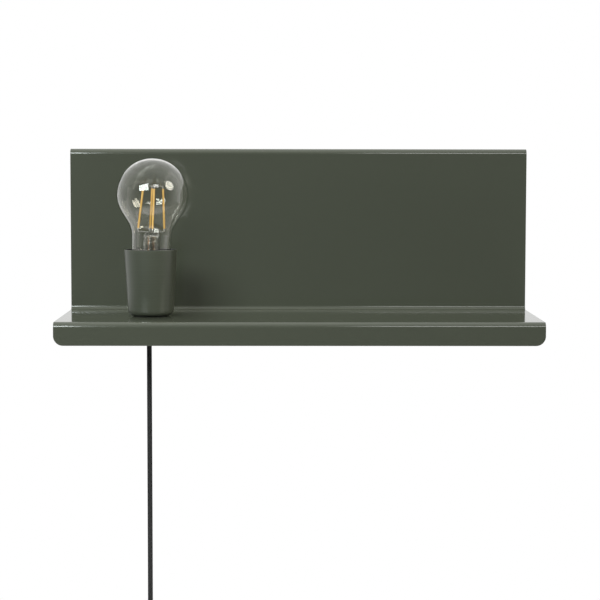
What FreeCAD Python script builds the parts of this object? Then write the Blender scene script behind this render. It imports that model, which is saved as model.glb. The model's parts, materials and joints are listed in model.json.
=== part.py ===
import FreeCAD
import Part
import math
import os

# Wall lamp with a shelf. One steel sheet is folded into a top hook, a back panel, a shelf and a front lip,
# and hangs on a bracket that is screwed to the wall. A metal cup near the left end holds a screw lampholder
# and a clear bulb. The cord drops from under the shelf to an inline switch, a tied coil and a flat plug.
# Millimetres, +Z up, +X to the right as seen from the room, the room is at -Y. The origin is on the wall
# plane, in the middle of the line through the bracket's two screw slots.

# ---- driving dimensions ------------------------------------------------------------------------------

# Folded sheet
WIDTH = 500.0
PANEL_TOP = 24.0
SHELF_TOP = -152.0
STAND_OFF = 15.0
SHELF_DEPTH = 165.0
LIP_DROP = 24.0
SHEET = 1.5
BEND = 3.5
HOOK_BEND = 1.2
HOOK_DROP = 12.0
HOOK_GAP = 0.5
LIP_CORNER = 10.0

# Wall bracket
BRACKET_WIDTH = 300.0
BRACKET_SHEET = 2.0
BRACKET_BEND = 1.0
BRACKET_FOOT = -14.0
BRACKET_STEP_LOW = 7.0
BRACKET_STEP_HIGH = 9.5
BRACKET_CORNER = 5.0
SLOT_SPACING = 240.0
SLOT_LENGTH = 12.0
SLOT_WIDTH = 5.0

# Rubber bumpers between the panel's foot and the wall
BUMPER_SPACING = 400.0
BUMPER_ABOVE_SHELF = 12.0
BUMPER_R = 8.0
BUMPER_TIP_R = 6.0

# Socket cup
CUP_FROM_END = 93.5
CUP_FROM_LIP = 80.0
CUP_HEIGHT = 70.0
CUP_RIM_R = 27.7
CUP_FOOT_R = 23.8
CUP_WALL = 1.2
CUP_FLOOR = 1.5
CUP_FOOT_ROUND = 6.0
RIM_ROUND = 0.45
GASKET = 0.8
GASKET_R = 17.5

# Lampholder
NIPPLE_ROOM = 1.0
NIPPLE_WALL = 1.4
NIPPLE_BELOW = 12.0
NIPPLE_ABOVE = 8.5
NIPPLE_ROUND = 0.4
HOLDER_ROOM = 3.0
HOLDER_WALL = 1.4
HOLDER_SKIN = 1.5
HOLDER_BOSS_WALL = 4.0
HOLDER_BOSS = 3.2
HOLDER_CONE = 7.5
HOLDER_TOP = 61.0
HOLDER_JOINT = 24.0
HOLDER_LIP = 1.8
HOLDER_SHOULDER = 3.0
HOLDER_LEDGE = 2.0
HOLDER_MOUTH_ROUND = 0.6
HOLDER_EDGE = 1.0
INSERT_FOOT = 14.2
INSERT_FLANGE = 2.0
INSERT_TOP = 31.0
INSERT_ROUND = 1.0
SHELL_R = 13.5
SHELL_WALL = 0.4
SHELL_TOP = 57.0
SHELL_FLANGE_R = 9.5
CONTACT_STRIP = 0.5
CONTACT_WIDTH = 5.0
CONTACT_FOOT_Y = 8.0
CONTACT_BEND_Y = 4.0
CONTACT_RISE_Y = 1.5
CONTACT_END_Y = -3.0
TERMINAL_X = 8.5
TERMINAL_R = 2.0
TERMINAL_HEIGHT = 3.2
TERMINAL_SLOT = 0.7
WIRE_R = 0.9
WIRE_X = 1.4
WIRE_HEIGHT = 12.0
WIRE_BEND = 1.8

# Fixings under the shelf
WASHER = 0.8
WASHER_WIDTH = 4.0
WASHER_TEETH = 12
WASHER_NOTCH = 1.1
NUT_HEIGHT = 3.0
NUT_WALL = 2.0
NUT_CHAMFER = 0.6
GRIP_WALL = 2.5
GRIP_LENGTH = 23.0
GRIP_FOOT_ROUND = 2.0
GRIP_HEAD_ROUND = 0.6
GRIP_FLUTES = 10
GRIP_FLUTE_R = 1.4
GRIP_FLUTE_DEPTH = 0.7
GRIP_FLUTE_LENGTH = 7.0
GRIP_SCREW_R = 1.75
GRIP_SCREW_HEAD_R = 2.9
GRIP_SCREW_HEAD = 1.8
GRIP_SCREW_RISE = 4.2
GRIP_SCREW_SLOT = 0.8

# Bulb, drawn upright and then leaned
BULB_R = 37.8
BULB_TOP = 165.5
BULB_CONE_SLOPE = 0.65
BULB_NECK_R = 21.2
BULB_NECK_BLEND = 25.0
BULB_NECK_FOOT_R = 20.9
BULB_NECK_FOOT = 67.5
BULB_NECK_FOOT_ROUND = 3.0
BULB_SEAL = 61.0
BULB_SEAL_HEIGHT = 1.8
BULB_LEAN = 1.6
BULB_LEAN_FROM = 45.0
GLASS = 0.8
CAP_FIT = 0.4
CAP_WALL = 0.35
CEMENT = 0.35
CAP_TOP = 62.5
CAP_SHOULDER = 41.0
CAP_FOOT = 37.2
CAP_FOOT_R = 8.5
CAP_ROUND = 1.5
INSULATOR_FOOT = 36.0
INSULATOR_HEIGHT = 2.6
TIP_R = 4.7
TIP_FOOT = 34.5
TIP_THICK = 1.2
TIP_ROUND = 0.8
TIP_STEM_R = 1.5
TIP_STEM_TOP = 40.0
STEM_WAIST_R = 9.0
STEM_WAIST = 68.0
STEM_HEAD_R = 8.2
STEM_HEAD = 88.0
STEM_WALL = 1.0
STEM_PINCH = 3.0
STEM_WAIST_ROUND = 5.0
STEM_HEAD_ROUND = 3.0
BOARD_GAP = 0.45
BOARD_THICK = 1.6
BOARD_FOOT = 42.0
BOARD_HEIGHT = 15.0
CAPACITOR_R = 3.6
CAPACITOR_HEIGHT = 10.0
FILAMENT_COUNT = 4
FILAMENT_R = 1.2
FILAMENT_TIP_R = 0.55
FILAMENT_TIP = 2.6
FILAMENT_FOOT_R = 13.9
FILAMENT_HEAD_R = 10.3
FILAMENT_FOOT = 89.8
FILAMENT_HEAD = 136.4
FILAMENT_TURN = 9.5
FILAMENT_LEAN = 1.3
SUPPORT_R = 0.3
SUPPORT_START_R = 3.2

# Cord and inline switch
CORD_R = 2.6
CORD_SIDESTEP = 1.8
CORD_TOP = 9.5
CORD_BEND_HIGH = 13.0
CORD_BEND_LOW = 19.0
CORD_BEND_SHARE = 0.45
SWITCH_TOP = -462.0
SWITCH_HALF_LENGTH = 31.0
SWITCH_HALF_WIDTH = 13.5
SWITCH_HALF_DEPTH = 8.5
SWITCH_NOSE_HALF = 7.0
SWITCH_SHOULDER = 19.0
SWITCH_WALL = 2.0
SWITCH_END_WALL = 7.0
SWITCH_CORNER = 8.0
SWITCH_NOSE_CORNER = 3.0
SWITCH_EDGE = 2.0
CORD_ENTRY = 4.0
ROCKER_R = 11.0
ROCKER_HALF_WIDTH = 4.7
ROCKER_PIVOT = 4.2
ROCKER_ANGLE = 8.0
ROCKER_PROUD = 0.4
ROCKER_SKIRT = 3.0
TRUNNION_R = 1.5
TRUNNION_HALF = 6.6
EAR_THICK = 2.0
EAR_HALF = 3.0
SWITCH_SCREW_INSET = 4.7
SWITCH_SCREW_END = 17.0
SWITCH_SCREW_R = 1.3
SWITCH_SCREW_HEAD_R = 2.5
SWITCH_SCREW_HEAD = 1.6
SWITCH_BOSS_R = 2.9
SWITCH_SCREW_SLOT = 0.6
SWITCH_SCREW_SLOT_HALF = 1.4
SWITCH_SCREW_SLOT_DEPTH = 0.8
SWITCH_CONTACT_WIDTH = 4.0
SWITCH_CONTACT_FOOT = 1.5
SWITCH_CONTACT_BEND = 5.0
SWITCH_CONTACT_HEAD = 7.5
SWITCH_CONTACT_END = 10.5
SWITCH_CONTACT_BELOW = 2.0

# Coil of the spare cord
COIL_LAYERS = 4
COIL_HALF_TURNS = 3
COIL_INNER_R = 26.0
COIL_TURN_GAP = 1.6
COIL_LAYER_GAP = 1.1
COIL_CENTRE_Z = -572.0
TIE_HEIGHT = 9.0
TIE_THICK = 1.0
TIE_ROUND = 4.0

# Plug
TAIL_SIDESTEP_X = 4.0
TAIL_SIDESTEP_Y = -4.0
TAIL_BEND_HIGH = -594.0
TAIL_BEND_LOW = -610.0
PLUG_TOP = -626.0
RELIEF_LENGTH = 18.0
RELIEF_WALL = 1.6
RELIEF_SPREAD = 2.0
RELIEF_RIBS = 5
RELIEF_GROOVE = 1.0
PLUG_LENGTH = 36.0
PLUG_HALF_WIDTH = 17.65
PLUG_HALF_DEPTH = 6.85
PLUG_NECK_HALF = 8.5
PLUG_SKIRT = 15.0
PLUG_CORNER = 5.0
PLUG_SHOULDER = 10.0
PLUG_FACE_CORNER = 2.0
PLUG_EDGE = 1.8
PIN_R = 2.0
PIN_LENGTH = 19.0
PIN_SPACING = 18.6
PIN_ROUND = 1.2

# Clearances
SEAT_GAP = 0.3
THREAD_GAP = 0.05
HOLE_GAP = 0.2
RUNNING_GAP = 0.06
TIE_GAP = 0.9
TOUCH = 1e-6

# ---- places worked out from the dimensions ------------------------------------------------------------

LIP_FACE = -(STAND_OFF + SHELF_DEPTH)
PANEL_BACK = -(STAND_OFF - SHEET)
SHELF_UNDER = SHELF_TOP - SHEET
CUP_X = -WIDTH / 2 + CUP_FROM_END
CUP_Y = LIP_FACE + CUP_FROM_LIP
CUP_INSIDE = GASKET + CUP_FLOOR
NIPPLE_BORE_R = CORD_R + NIPPLE_ROOM
NIPPLE_R = NIPPLE_BORE_R + NIPPLE_WALL
HOLDER_THREAD_R = SHELL_R + SHELL_WALL + HOLDER_ROOM + HOLDER_WALL
HOLDER_R = HOLDER_THREAD_R + HOLDER_SKIN
HOLDER_BOSS_R = NIPPLE_R + HOLDER_BOSS_WALL
WASHER_R = NIPPLE_R + WASHER_WIDTH
NUT_ACROSS_FLATS = 2 * (NIPPLE_R + NUT_WALL)
GRIP_R = NIPPLE_R + GRIP_WALL
GRIP_BORE_R = CORD_R + CORD_SIDESTEP + HOLE_GAP
GRIP_TOP = SHELF_UNDER - WASHER - NUT_HEIGHT - SEAT_GAP
GRIP_FOOT = GRIP_TOP - GRIP_LENGTH
CAP_R = SHELL_R - CAP_FIT
BULB_SEAL_R = CAP_R - CAP_WALL - CEMENT
STEM_FOOT_R = BULB_SEAL_R - GLASS - HOLE_GAP
BOARD_WIDTH = 2 * (CAP_R - CAP_WALL - BOARD_GAP)
DROP_X = CUP_X - CORD_SIDESTEP
SWITCH_Z = SWITCH_TOP - SWITCH_HALF_LENGTH
PIVOT_Y = CUP_Y - SWITCH_HALF_DEPTH + ROCKER_PIVOT
COIL_RADIAL_STEP = 2 * CORD_R + COIL_TURN_GAP
COIL_LAYER_STEP = 2 * CORD_R + COIL_LAYER_GAP
COIL_OUTER_R = COIL_INNER_R + COIL_HALF_TURNS * COIL_RADIAL_STEP / 2
COIL_X = DROP_X + COIL_OUTER_R
TAIL_X = COIL_X - COIL_OUTER_R - COIL_RADIAL_STEP / 2
TAIL_Y = CUP_Y + (COIL_LAYERS - 1) * COIL_LAYER_STEP
PLUG_X = TAIL_X + TAIL_SIDESTEP_X
PLUG_Y = TAIL_Y + TAIL_SIDESTEP_Y
RELIEF_TOP_R = CORD_R + RELIEF_WALL
RELIEF_FOOT_R = RELIEF_TOP_R + RELIEF_SPREAD
PLUG_FACE = PLUG_TOP - RELIEF_LENGTH - PLUG_LENGTH

UP = FreeCAD.Vector(0, 0, 1)
ALONG = FreeCAD.Vector(1, 0, 0)
TO_WALL = FreeCAD.Vector(0, 1, 0)
NOWHERE = FreeCAD.Vector(0, 0, 0)


# ---- shared ways of making shapes ---------------------------------------------------------------------

def at(x, y, z):
    """A point or a direction."""
    return FreeCAD.Vector(x, y, z)


def corner_arc(before, corner, after, radius):
    """Start, middle and end of the arc that rounds a corner between two straight runs."""
    towards = (before - corner).normalize()
    away = (after - corner).normalize()
    half = towards.getAngle(away) / 2
    reach = radius / math.tan(half)
    middle = (towards + away).normalize() * (radius / math.sin(half) - radius)
    return corner + towards * reach, corner + middle, corner + away * reach


def rounded_outline(corners, radii):
    """A closed wire through the corners, each rounded by its radius, where 0 keeps it sharp."""
    count = len(corners)
    cuts = []
    for i, (corner, radius) in enumerate(zip(corners, radii)):
        if radius > 0:
            cuts.append(corner_arc(corners[i - 1], corner, corners[(i + 1) % count], radius))
        else:
            cuts.append((corner,))
    edges = []
    for i, cut in enumerate(cuts):
        following = cuts[(i + 1) % count][0]
        if len(cut) == 3:
            edges.append(Part.Arc(*cut).toShape())
        if cut[-1].distanceToPoint(following) > TOUCH:
            edges.append(Part.LineSegment(cut[-1], following).toShape())
    return Part.Wire(edges)


def outward(solid):
    """The same solid with its faces turned outwards."""
    if solid.Volume < 0:
        solid.reverse()
    return solid


def turned(profile, x=CUP_X, y=CUP_Y, foot=SHELF_TOP):
    """A solid turned about a vertical axis from (radius, height, corner radius) points."""
    corners = [at(radius, 0, height) for radius, height, _ in profile]
    wire = rounded_outline(corners, [rounding for _, _, rounding in profile])
    solid = outward(Part.Face(wire).revolve(NOWHERE, UP, 360))
    solid.translate(at(x, y, foot))
    return solid


def prism(corners, radii, direction):
    """A rounded flat outline pushed along a direction."""
    return outward(Part.Face(rounded_outline(corners, radii)).extrude(direction))


def post(radius, start, direction, length):
    """A plain round bar."""
    return Part.makeCylinder(radius, length, start, direction)


def block(low, high):
    """A box between two opposite corners."""
    return Part.makeBox(high.x - low.x, high.y - low.y, high.z - low.z, low)


def folded_strip(face, bends, thickness, width, end_round=0):
    """A folded strip centred on x = 0. face gives (y, z) corners, with the sheet to the left of their way."""
    points = [at(0, y, z) for y, z in face]
    runs = [(after - before).normalize() for before, after in zip(points, points[1:])]
    sides = [at(0, -run.z, run.y) for run in runs]
    back = [points[0] + sides[0] * thickness]
    face_radii = [0]
    back_radii = [0]
    for i, bend in enumerate(bends):
        spread = 1 + sides[i].dot(sides[i + 1])
        back.append(points[i + 1] + (sides[i] + sides[i + 1]) * (thickness / spread))
        turns_left = runs[i].y * runs[i + 1].z > runs[i].z * runs[i + 1].y
        face_radii.append(bend + thickness if turns_left else bend)
        back_radii.append(bend if turns_left else bend + thickness)
    back.append(points[-1] + sides[-1] * thickness)
    corners = points + back[::-1]
    radii = face_radii + [end_round, end_round] + back_radii[::-1]
    solid = prism(corners, radii, at(width, 0, 0))
    solid.translate(at(-width / 2, 0, 0))
    return solid


def round_sheet_corners(solid, half_width, level, radius):
    """Rounds the two corners of a sheet's free edge, whose short edges run from front to back."""
    chosen = []
    for edge in solid.Edges:
        middle = edge.CenterOfMass
        runs_back = abs(edge.tangentAt(edge.FirstParameter).y) > 0.999
        if runs_back and abs(abs(middle.x) - half_width) < TOUCH and abs(middle.z - level) < TOUCH:
            chosen.append(edge)
    return solid.makeFillet(radius, chosen)


def round_rims(solid, radius):
    """Rounds the edges round a moulding's front and back faces."""
    box = solid.BoundBox
    rims = []
    for edge in solid.Edges:
        inwards = min(edge.BoundBox.YMin - box.YMin, box.YMax - edge.BoundBox.YMax)
        if edge.BoundBox.YLength < TOUCH and inwards < TOUCH:
            rims.append(edge)
    return solid.makeFillet(radius, rims)


def bent_path(points):
    """Straight runs joined by arcs, each as large as its two runs allow, with the radii it used."""
    edges = []
    radii = []
    start = points[0]
    for before, corner, after in zip(points, points[1:], points[2:]):
        shorter = min(before.distanceToPoint(corner), corner.distanceToPoint(after))
        half_turn = (corner - before).getAngle(after - corner) / 2
        radius = CORD_BEND_SHARE * shorter / math.tan(half_turn)
        first, middle, last = corner_arc(before, corner, after, radius)
        edges.append(Part.LineSegment(start, first).toShape())
        edges.append(Part.Arc(first, middle, last).toShape())
        radii.append(radius)
        start = last
    edges.append(Part.LineSegment(start, points[-1]).toShape())
    return Part.Wire(edges), radii


def tube_along(wire, radius):
    """A solid round tube along a path."""
    first = wire.OrderedEdges[0]
    start = first.valueAt(first.FirstParameter)
    direction = first.tangentAt(first.FirstParameter)
    ring = Part.Wire([Part.makeCircle(radius, start, direction)])
    return outward(wire.makePipeShell([ring], True, False))


def compound(solids):
    """Several separate solids kept as one group."""
    return Part.makeCompound(solids)


# ---- folded body and wall side ------------------------------------------------------------------------

def shelf_body():
    """Hook, flange, panel, shelf and lip folded from one sheet, with the hole for the lampholder's nipple."""
    face = [
        (-HOOK_GAP, PANEL_TOP - HOOK_DROP),
        (-HOOK_GAP, PANEL_TOP),
        (-STAND_OFF, PANEL_TOP),
        (-STAND_OFF, SHELF_TOP),
        (LIP_FACE, SHELF_TOP),
        (LIP_FACE, SHELF_TOP - LIP_DROP),
    ]
    body = folded_strip(face, [HOOK_BEND, BEND, BEND, BEND], SHEET, WIDTH)
    body = round_sheet_corners(body, WIDTH / 2, SHELF_TOP - LIP_DROP, LIP_CORNER)
    hole = post(NIPPLE_R + HOLE_GAP, at(CUP_X, CUP_Y, SHELF_UNDER - SHEET), UP, 3 * SHEET)
    return body.cut(hole)


def slot_cutter(x):
    """A level slot through the bracket at the height of the origin."""
    half = SLOT_LENGTH / 2
    radius = SLOT_WIDTH / 2
    start = -2 * BRACKET_SHEET
    corners = [
        at(x - half, start, -radius),
        at(x + half, start, -radius),
        at(x + half, start, radius),
        at(x - half, start, radius),
    ]
    middle = block(at(x - half + radius, start, -radius), at(x + half - radius, 0, radius))
    ends = [
        post(radius, at(end, start, 0), TO_WALL, -start)
        for end in (corners[0].x + radius, corners[1].x - radius)
    ]
    return middle.fuse(ends).removeSplitter()


def wall_bracket():
    """A stepped steel strip whose upper edge stands off the wall, so the body's hook drops in behind it."""
    stand_off = HOOK_GAP + SHEET + SEAT_GAP
    face = [
        (0, BRACKET_FOOT),
        (0, BRACKET_STEP_LOW),
        (-stand_off, BRACKET_STEP_HIGH),
        (-stand_off, PANEL_TOP - SHEET - SEAT_GAP),
    ]
    bends = [BRACKET_BEND, BRACKET_BEND]
    bracket = folded_strip(face, bends, BRACKET_SHEET, BRACKET_WIDTH, HOOK_BEND - SEAT_GAP)
    bracket = round_sheet_corners(bracket, BRACKET_WIDTH / 2, BRACKET_FOOT, BRACKET_CORNER)
    return bracket.cut([slot_cutter(x) for x in (-SLOT_SPACING / 2, SLOT_SPACING / 2)])


def wall_bumpers():
    """Two rubber bumpers that keep the panel's foot off the wall."""
    height = -PANEL_BACK
    level = SHELF_TOP + BUMPER_ABOVE_SHELF
    return compound([
        Part.makeCone(BUMPER_R, BUMPER_TIP_R, height, at(x, PANEL_BACK, level), TO_WALL)
        for x in (-BUMPER_SPACING / 2, BUMPER_SPACING / 2)
    ])


# ---- socket cup and lampholder ------------------------------------------------------------------------

def cup_gasket():
    """A thin black washer that keeps the cup's foot off the paint."""
    bore = NIPPLE_R + HOLE_GAP
    return turned([(bore, 0, 0), (GASKET_R, 0, 0), (GASKET_R, GASKET, 0), (bore, GASKET, 0)])


def cup():
    """A spun cup that widens upwards, with a rounded foot and a thin rim."""
    bore = NIPPLE_R + HOLE_GAP
    return turned([
        (bore, GASKET, 0),
        (CUP_FOOT_R, GASKET, CUP_FOOT_ROUND),
        (CUP_RIM_R, CUP_HEIGHT, RIM_ROUND),
        (CUP_RIM_R - CUP_WALL, CUP_HEIGHT, RIM_ROUND),
        (CUP_FOOT_R - CUP_WALL, CUP_INSIDE, CUP_FOOT_ROUND - CUP_WALL),
        (bore, CUP_INSIDE, 0),
    ])


def holder_cap():
    """The lampholder's lower half, with a boss on the nipple and a ledge under the insert."""
    bore = NIPPLE_R + THREAD_GAP
    boss_top = CUP_INSIDE + HOLDER_BOSS
    inside = HOLDER_THREAD_R + THREAD_GAP
    ledge = inside - HOLDER_LEDGE
    cone_in = boss_top + HOLDER_LIP
    return turned([
        (bore, CUP_INSIDE, 0),
        (HOLDER_BOSS_R, CUP_INSIDE, 0),
        (HOLDER_BOSS_R, boss_top, 0),
        (HOLDER_R, boss_top + HOLDER_CONE, HOLDER_SHOULDER),
        (HOLDER_R, HOLDER_JOINT, 0),
        (inside, HOLDER_JOINT, 0),
        (inside, INSERT_FOOT, 0),
        (ledge, INSERT_FOOT, 0),
        (HOLDER_BOSS_R - HOLDER_WALL, cone_in, 0),
        (bore, cone_in, 0),
    ])


def holder_skirt():
    """The upper half, screwed into the cap, with a mouth that guards the screw shell."""
    inside = HOLDER_THREAD_R - HOLDER_WALL
    mouth = SHELL_R + SHELL_WALL + HOLE_GAP + THREAD_GAP
    return turned([
        (HOLDER_THREAD_R, INSERT_FOOT + INSERT_FLANGE, 0),
        (HOLDER_THREAD_R, HOLDER_JOINT, 0),
        (HOLDER_R, HOLDER_JOINT, 0),
        (HOLDER_R, HOLDER_TOP, HOLDER_EDGE),
        (mouth, HOLDER_TOP, HOLDER_MOUTH_ROUND),
        (mouth, HOLDER_TOP - HOLDER_LIP, 0),
        (inside, HOLDER_TOP - HOLDER_LIP, 0),
        (inside, INSERT_FOOT + INSERT_FLANGE, 0),
    ])


def holder_insert():
    """The ceramic core that is held between the two halves."""
    body = HOLDER_THREAD_R - HOLDER_WALL - HOLE_GAP
    flange_top = INSERT_FOOT + INSERT_FLANGE
    return turned([
        (0, INSERT_FOOT, 0),
        (HOLDER_THREAD_R - THREAD_GAP, INSERT_FOOT, 0),
        (HOLDER_THREAD_R - THREAD_GAP, flange_top, 0),
        (body, flange_top, 0),
        (body, INSERT_TOP, INSERT_ROUND),
        (0, INSERT_TOP, 0),
    ])


def holder_terminals():
    """Two terminal screws on the insert's underside."""
    terminals = []
    for side in (-1, 1):
        foot = at(CUP_X + side * TERMINAL_X, CUP_Y, SHELF_TOP + INSERT_FOOT - TERMINAL_HEIGHT)
        screw = post(TERMINAL_R, foot, UP, TERMINAL_HEIGHT)
        groove = block(
            foot - at(TERMINAL_R, TERMINAL_SLOT / 2, TERMINAL_SLOT),
            foot + at(TERMINAL_R, TERMINAL_SLOT / 2, TERMINAL_SLOT),
        )
        terminals.append(screw.cut(groove))
    return compound(terminals)


def screw_shell():
    """The brass shell that takes the bulb's cap."""
    outside = SHELL_R + SHELL_WALL
    floor_top = INSERT_TOP + SHELL_WALL
    return turned([
        (SHELL_FLANGE_R, INSERT_TOP, 0),
        (outside, INSERT_TOP, SHELL_WALL),
        (outside, SHELL_TOP, 0),
        (SHELL_R, SHELL_TOP, 0),
        (SHELL_R, floor_top, 0),
        (SHELL_FLANGE_R, floor_top, 0),
    ])


def centre_contact():
    """A springy strip under the bulb's tip."""
    foot = INSERT_TOP + CONTACT_STRIP
    head = TIP_FOOT - SEAT_GAP
    face = [
        (CONTACT_FOOT_Y, foot),
        (CONTACT_BEND_Y, foot),
        (CONTACT_RISE_Y, head),
        (CONTACT_END_Y, head),
    ]
    strip = folded_strip(face, [CONTACT_STRIP, CONTACT_STRIP], CONTACT_STRIP, CONTACT_WIDTH)
    strip.translate(at(CUP_X, CUP_Y, SHELF_TOP))
    return strip


def core_wires():
    """The two insulated cores between the cord's end and the terminals."""
    wires = []
    for side in (-1, 1):
        start = at(CUP_X + side * WIRE_X, CUP_Y, SHELF_TOP + CORD_TOP)
        corner = at(start.x, CUP_Y, SHELF_TOP + WIRE_HEIGHT)
        end = at(CUP_X + side * (TERMINAL_X - TERMINAL_R), CUP_Y, corner.z)
        first, middle, last = corner_arc(start, corner, end, WIRE_BEND)
        path = Part.Wire([
            Part.LineSegment(start, first).toShape(),
            Part.Arc(first, middle, last).toShape(),
            Part.LineSegment(last, end).toShape(),
        ])
        wires.append(tube_along(path, WIRE_R))
    return compound(wires)


def nipple():
    """The hollow rod that clamps holder, cup and shelf together and lets the cord through."""
    return turned([
        (NIPPLE_BORE_R, -NIPPLE_BELOW, 0),
        (NIPPLE_R, -NIPPLE_BELOW, NIPPLE_ROUND),
        (NIPPLE_R, NIPPLE_ABOVE, NIPPLE_ROUND),
        (NIPPLE_BORE_R, NIPPLE_ABOVE, 0),
    ])


def toothed_washer():
    """A lock washer with notches round its edge."""
    bore = NIPPLE_R + HOLE_GAP
    top = SHELF_UNDER - SHELF_TOP
    washer = turned([
        (bore, top - WASHER, 0),
        (WASHER_R, top - WASHER, 0),
        (WASHER_R, top, 0),
        (bore, top, 0),
    ])
    notches = []
    for i in range(WASHER_TEETH):
        angle = 2 * math.pi * i / WASHER_TEETH
        centre = at(
            CUP_X + WASHER_R * math.cos(angle),
            CUP_Y + WASHER_R * math.sin(angle),
            SHELF_UNDER - 2 * WASHER,
        )
        notches.append(post(WASHER_NOTCH, centre, UP, 3 * WASHER))
    return washer.cut(notches)


def lock_nut():
    """A thin hexagon nut with turned-down corners."""
    across_corners = NUT_ACROSS_FLATS / math.cos(math.pi / 6)
    foot = SHELF_UNDER - WASHER - NUT_HEIGHT
    corners = [
        at(
            CUP_X + across_corners / 2 * math.cos(math.pi / 3 * i),
            CUP_Y + across_corners / 2 * math.sin(math.pi / 3 * i),
            foot,
        )
        for i in range(6)
    ]
    hexagon = prism(corners, [0] * 6, at(0, 0, NUT_HEIGHT))
    low = foot - SHELF_TOP
    chamfered = turned([
        (NIPPLE_R + THREAD_GAP, low, 0),
        (NUT_ACROSS_FLATS / 2, low, 0),
        (across_corners / 2, low + NUT_CHAMFER, 0),
        (across_corners / 2, low + NUT_HEIGHT, 0),
        (NIPPLE_R + THREAD_GAP, low + NUT_HEIGHT, 0),
    ])
    return hexagon.common(chamfered)


def cord_grip():
    """The fluted strain relief that is screwed on the nipple below the nut."""
    low = GRIP_FOOT - SHELF_TOP
    high = GRIP_TOP - SHELF_TOP
    thread_end = -NIPPLE_BELOW - SEAT_GAP
    grip = turned([
        (GRIP_BORE_R, low, 0),
        (GRIP_R, low, GRIP_FOOT_ROUND),
        (GRIP_R, high, GRIP_HEAD_ROUND),
        (NIPPLE_R + THREAD_GAP, high, 0),
        (NIPPLE_R + THREAD_GAP, thread_end, 0),
        (GRIP_BORE_R, thread_end, 0),
    ])
    cuts = [grip_screw_bar(GRIP_SCREW_R + THREAD_GAP, GRIP_SCREW_HEAD_R + HOLE_GAP)]
    ring_r = GRIP_R + GRIP_FLUTE_R - GRIP_FLUTE_DEPTH
    for i in range(GRIP_FLUTES):
        angle = 2 * math.pi * (i + 0.5) / GRIP_FLUTES
        centre = at(
            CUP_X + ring_r * math.cos(angle),
            CUP_Y + ring_r * math.sin(angle),
            GRIP_TOP - GRIP_FLUTE_LENGTH,
        )
        cuts.append(post(GRIP_FLUTE_R, centre, UP, 2 * GRIP_FLUTE_LENGTH))
    return grip.cut(cuts)


def grip_screw_bar(shank_r, head_r):
    """Shank and sunk head of the clamp screw, pointing at the cord from the right."""
    level = GRIP_FOOT + GRIP_SCREW_RISE
    tip = DROP_X + CORD_R + THREAD_GAP
    head = CUP_X + GRIP_R - GRIP_SCREW_HEAD
    shank = post(shank_r, at(tip, CUP_Y, level), ALONG, head - tip)
    return shank.fuse(post(head_r, at(head, CUP_Y, level), ALONG, GRIP_SCREW_HEAD))


def grip_screw():
    """The clamp screw, with a slot across its head."""
    screw = grip_screw_bar(GRIP_SCREW_R, GRIP_SCREW_HEAD_R)
    level = GRIP_FOOT + GRIP_SCREW_RISE
    face = CUP_X + GRIP_R
    groove = block(
        at(face - GRIP_SCREW_HEAD / 2, CUP_Y - GRIP_SCREW_SLOT / 2, level - GRIP_SCREW_HEAD_R),
        at(face + GRIP_SCREW_HEAD / 2, CUP_Y + GRIP_SCREW_SLOT / 2, level + GRIP_SCREW_HEAD_R),
    )
    return screw.cut(groove)


# ---- bulb ---------------------------------------------------------------------------------------------

def leaned(shape):
    """A piece of the bulb, tipped to the right with the bulb as far as its thread's play lets it."""
    shape.rotate(at(CUP_X, CUP_Y, SHELF_TOP + BULB_LEAN_FROM), TO_WALL, BULB_LEAN)
    return shape


def envelope_side(inset):
    """The (radius, height, corner radius) points of the glass, set in from its outer face."""
    ball = BULB_R - inset
    centre = BULB_TOP - BULB_R
    slope = math.atan(BULB_CONE_SLOPE)
    neck = BULB_NECK_R - inset
    neck_top = centre + (neck * math.cos(slope) - ball) / math.sin(slope)
    cone_top = ball * (1 + math.sin(slope)) / math.cos(slope)
    return [
        (BULB_SEAL_R - inset, BULB_SEAL, 0),
        (BULB_SEAL_R - inset, BULB_SEAL + BULB_SEAL_HEIGHT, 0),
        (BULB_NECK_FOOT_R - inset, BULB_NECK_FOOT, BULB_NECK_FOOT_ROUND),
        (neck, neck_top, BULB_NECK_BLEND + inset),
        (cone_top, centre + ball, ball),
        (0, centre + ball, 0),
    ]


def bulb_glass():
    """The clear envelope, an even glass wall from the seal to the crown."""
    return leaned(turned(envelope_side(0) + envelope_side(GLASS)[::-1]))


def bulb_stem():
    """The flared glass tube inside the neck that carries the wires."""
    wall = STEM_WALL
    pinch = STEM_HEAD - STEM_PINCH
    return leaned(turned([
        (STEM_FOOT_R, BULB_SEAL, 0),
        (STEM_WAIST_R, STEM_WAIST, STEM_WAIST_ROUND),
        (STEM_HEAD_R, STEM_HEAD, STEM_HEAD_ROUND),
        (0, STEM_HEAD, 0),
        (0, pinch, 0),
        (STEM_HEAD_R - wall, pinch, STEM_HEAD_ROUND - wall),
        (STEM_WAIST_R - wall, STEM_WAIST - wall / 2, STEM_WAIST_ROUND),
        (STEM_FOOT_R - 2 * wall, BULB_SEAL, 0),
    ]))


def bulb_cap():
    """The metal screw cap, plain where its thread would be rolled."""
    slant = math.atan2(CAP_SHOULDER - CAP_FOOT, CAP_R - CAP_FOOT_R)
    lift = CAP_WALL / math.cos(slant)
    shoulder_in = CAP_SHOULDER + lift - CAP_WALL * math.tan(slant)
    return leaned(turned([
        (CAP_R, CAP_TOP, 0),
        (CAP_R, CAP_SHOULDER, CAP_ROUND),
        (CAP_FOOT_R, CAP_FOOT, 0),
        (CAP_FOOT_R, CAP_FOOT + lift, 0),
        (CAP_R - CAP_WALL, shoulder_in, CAP_ROUND - CAP_WALL),
        (CAP_R - CAP_WALL, CAP_TOP, 0),
    ]))


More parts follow.
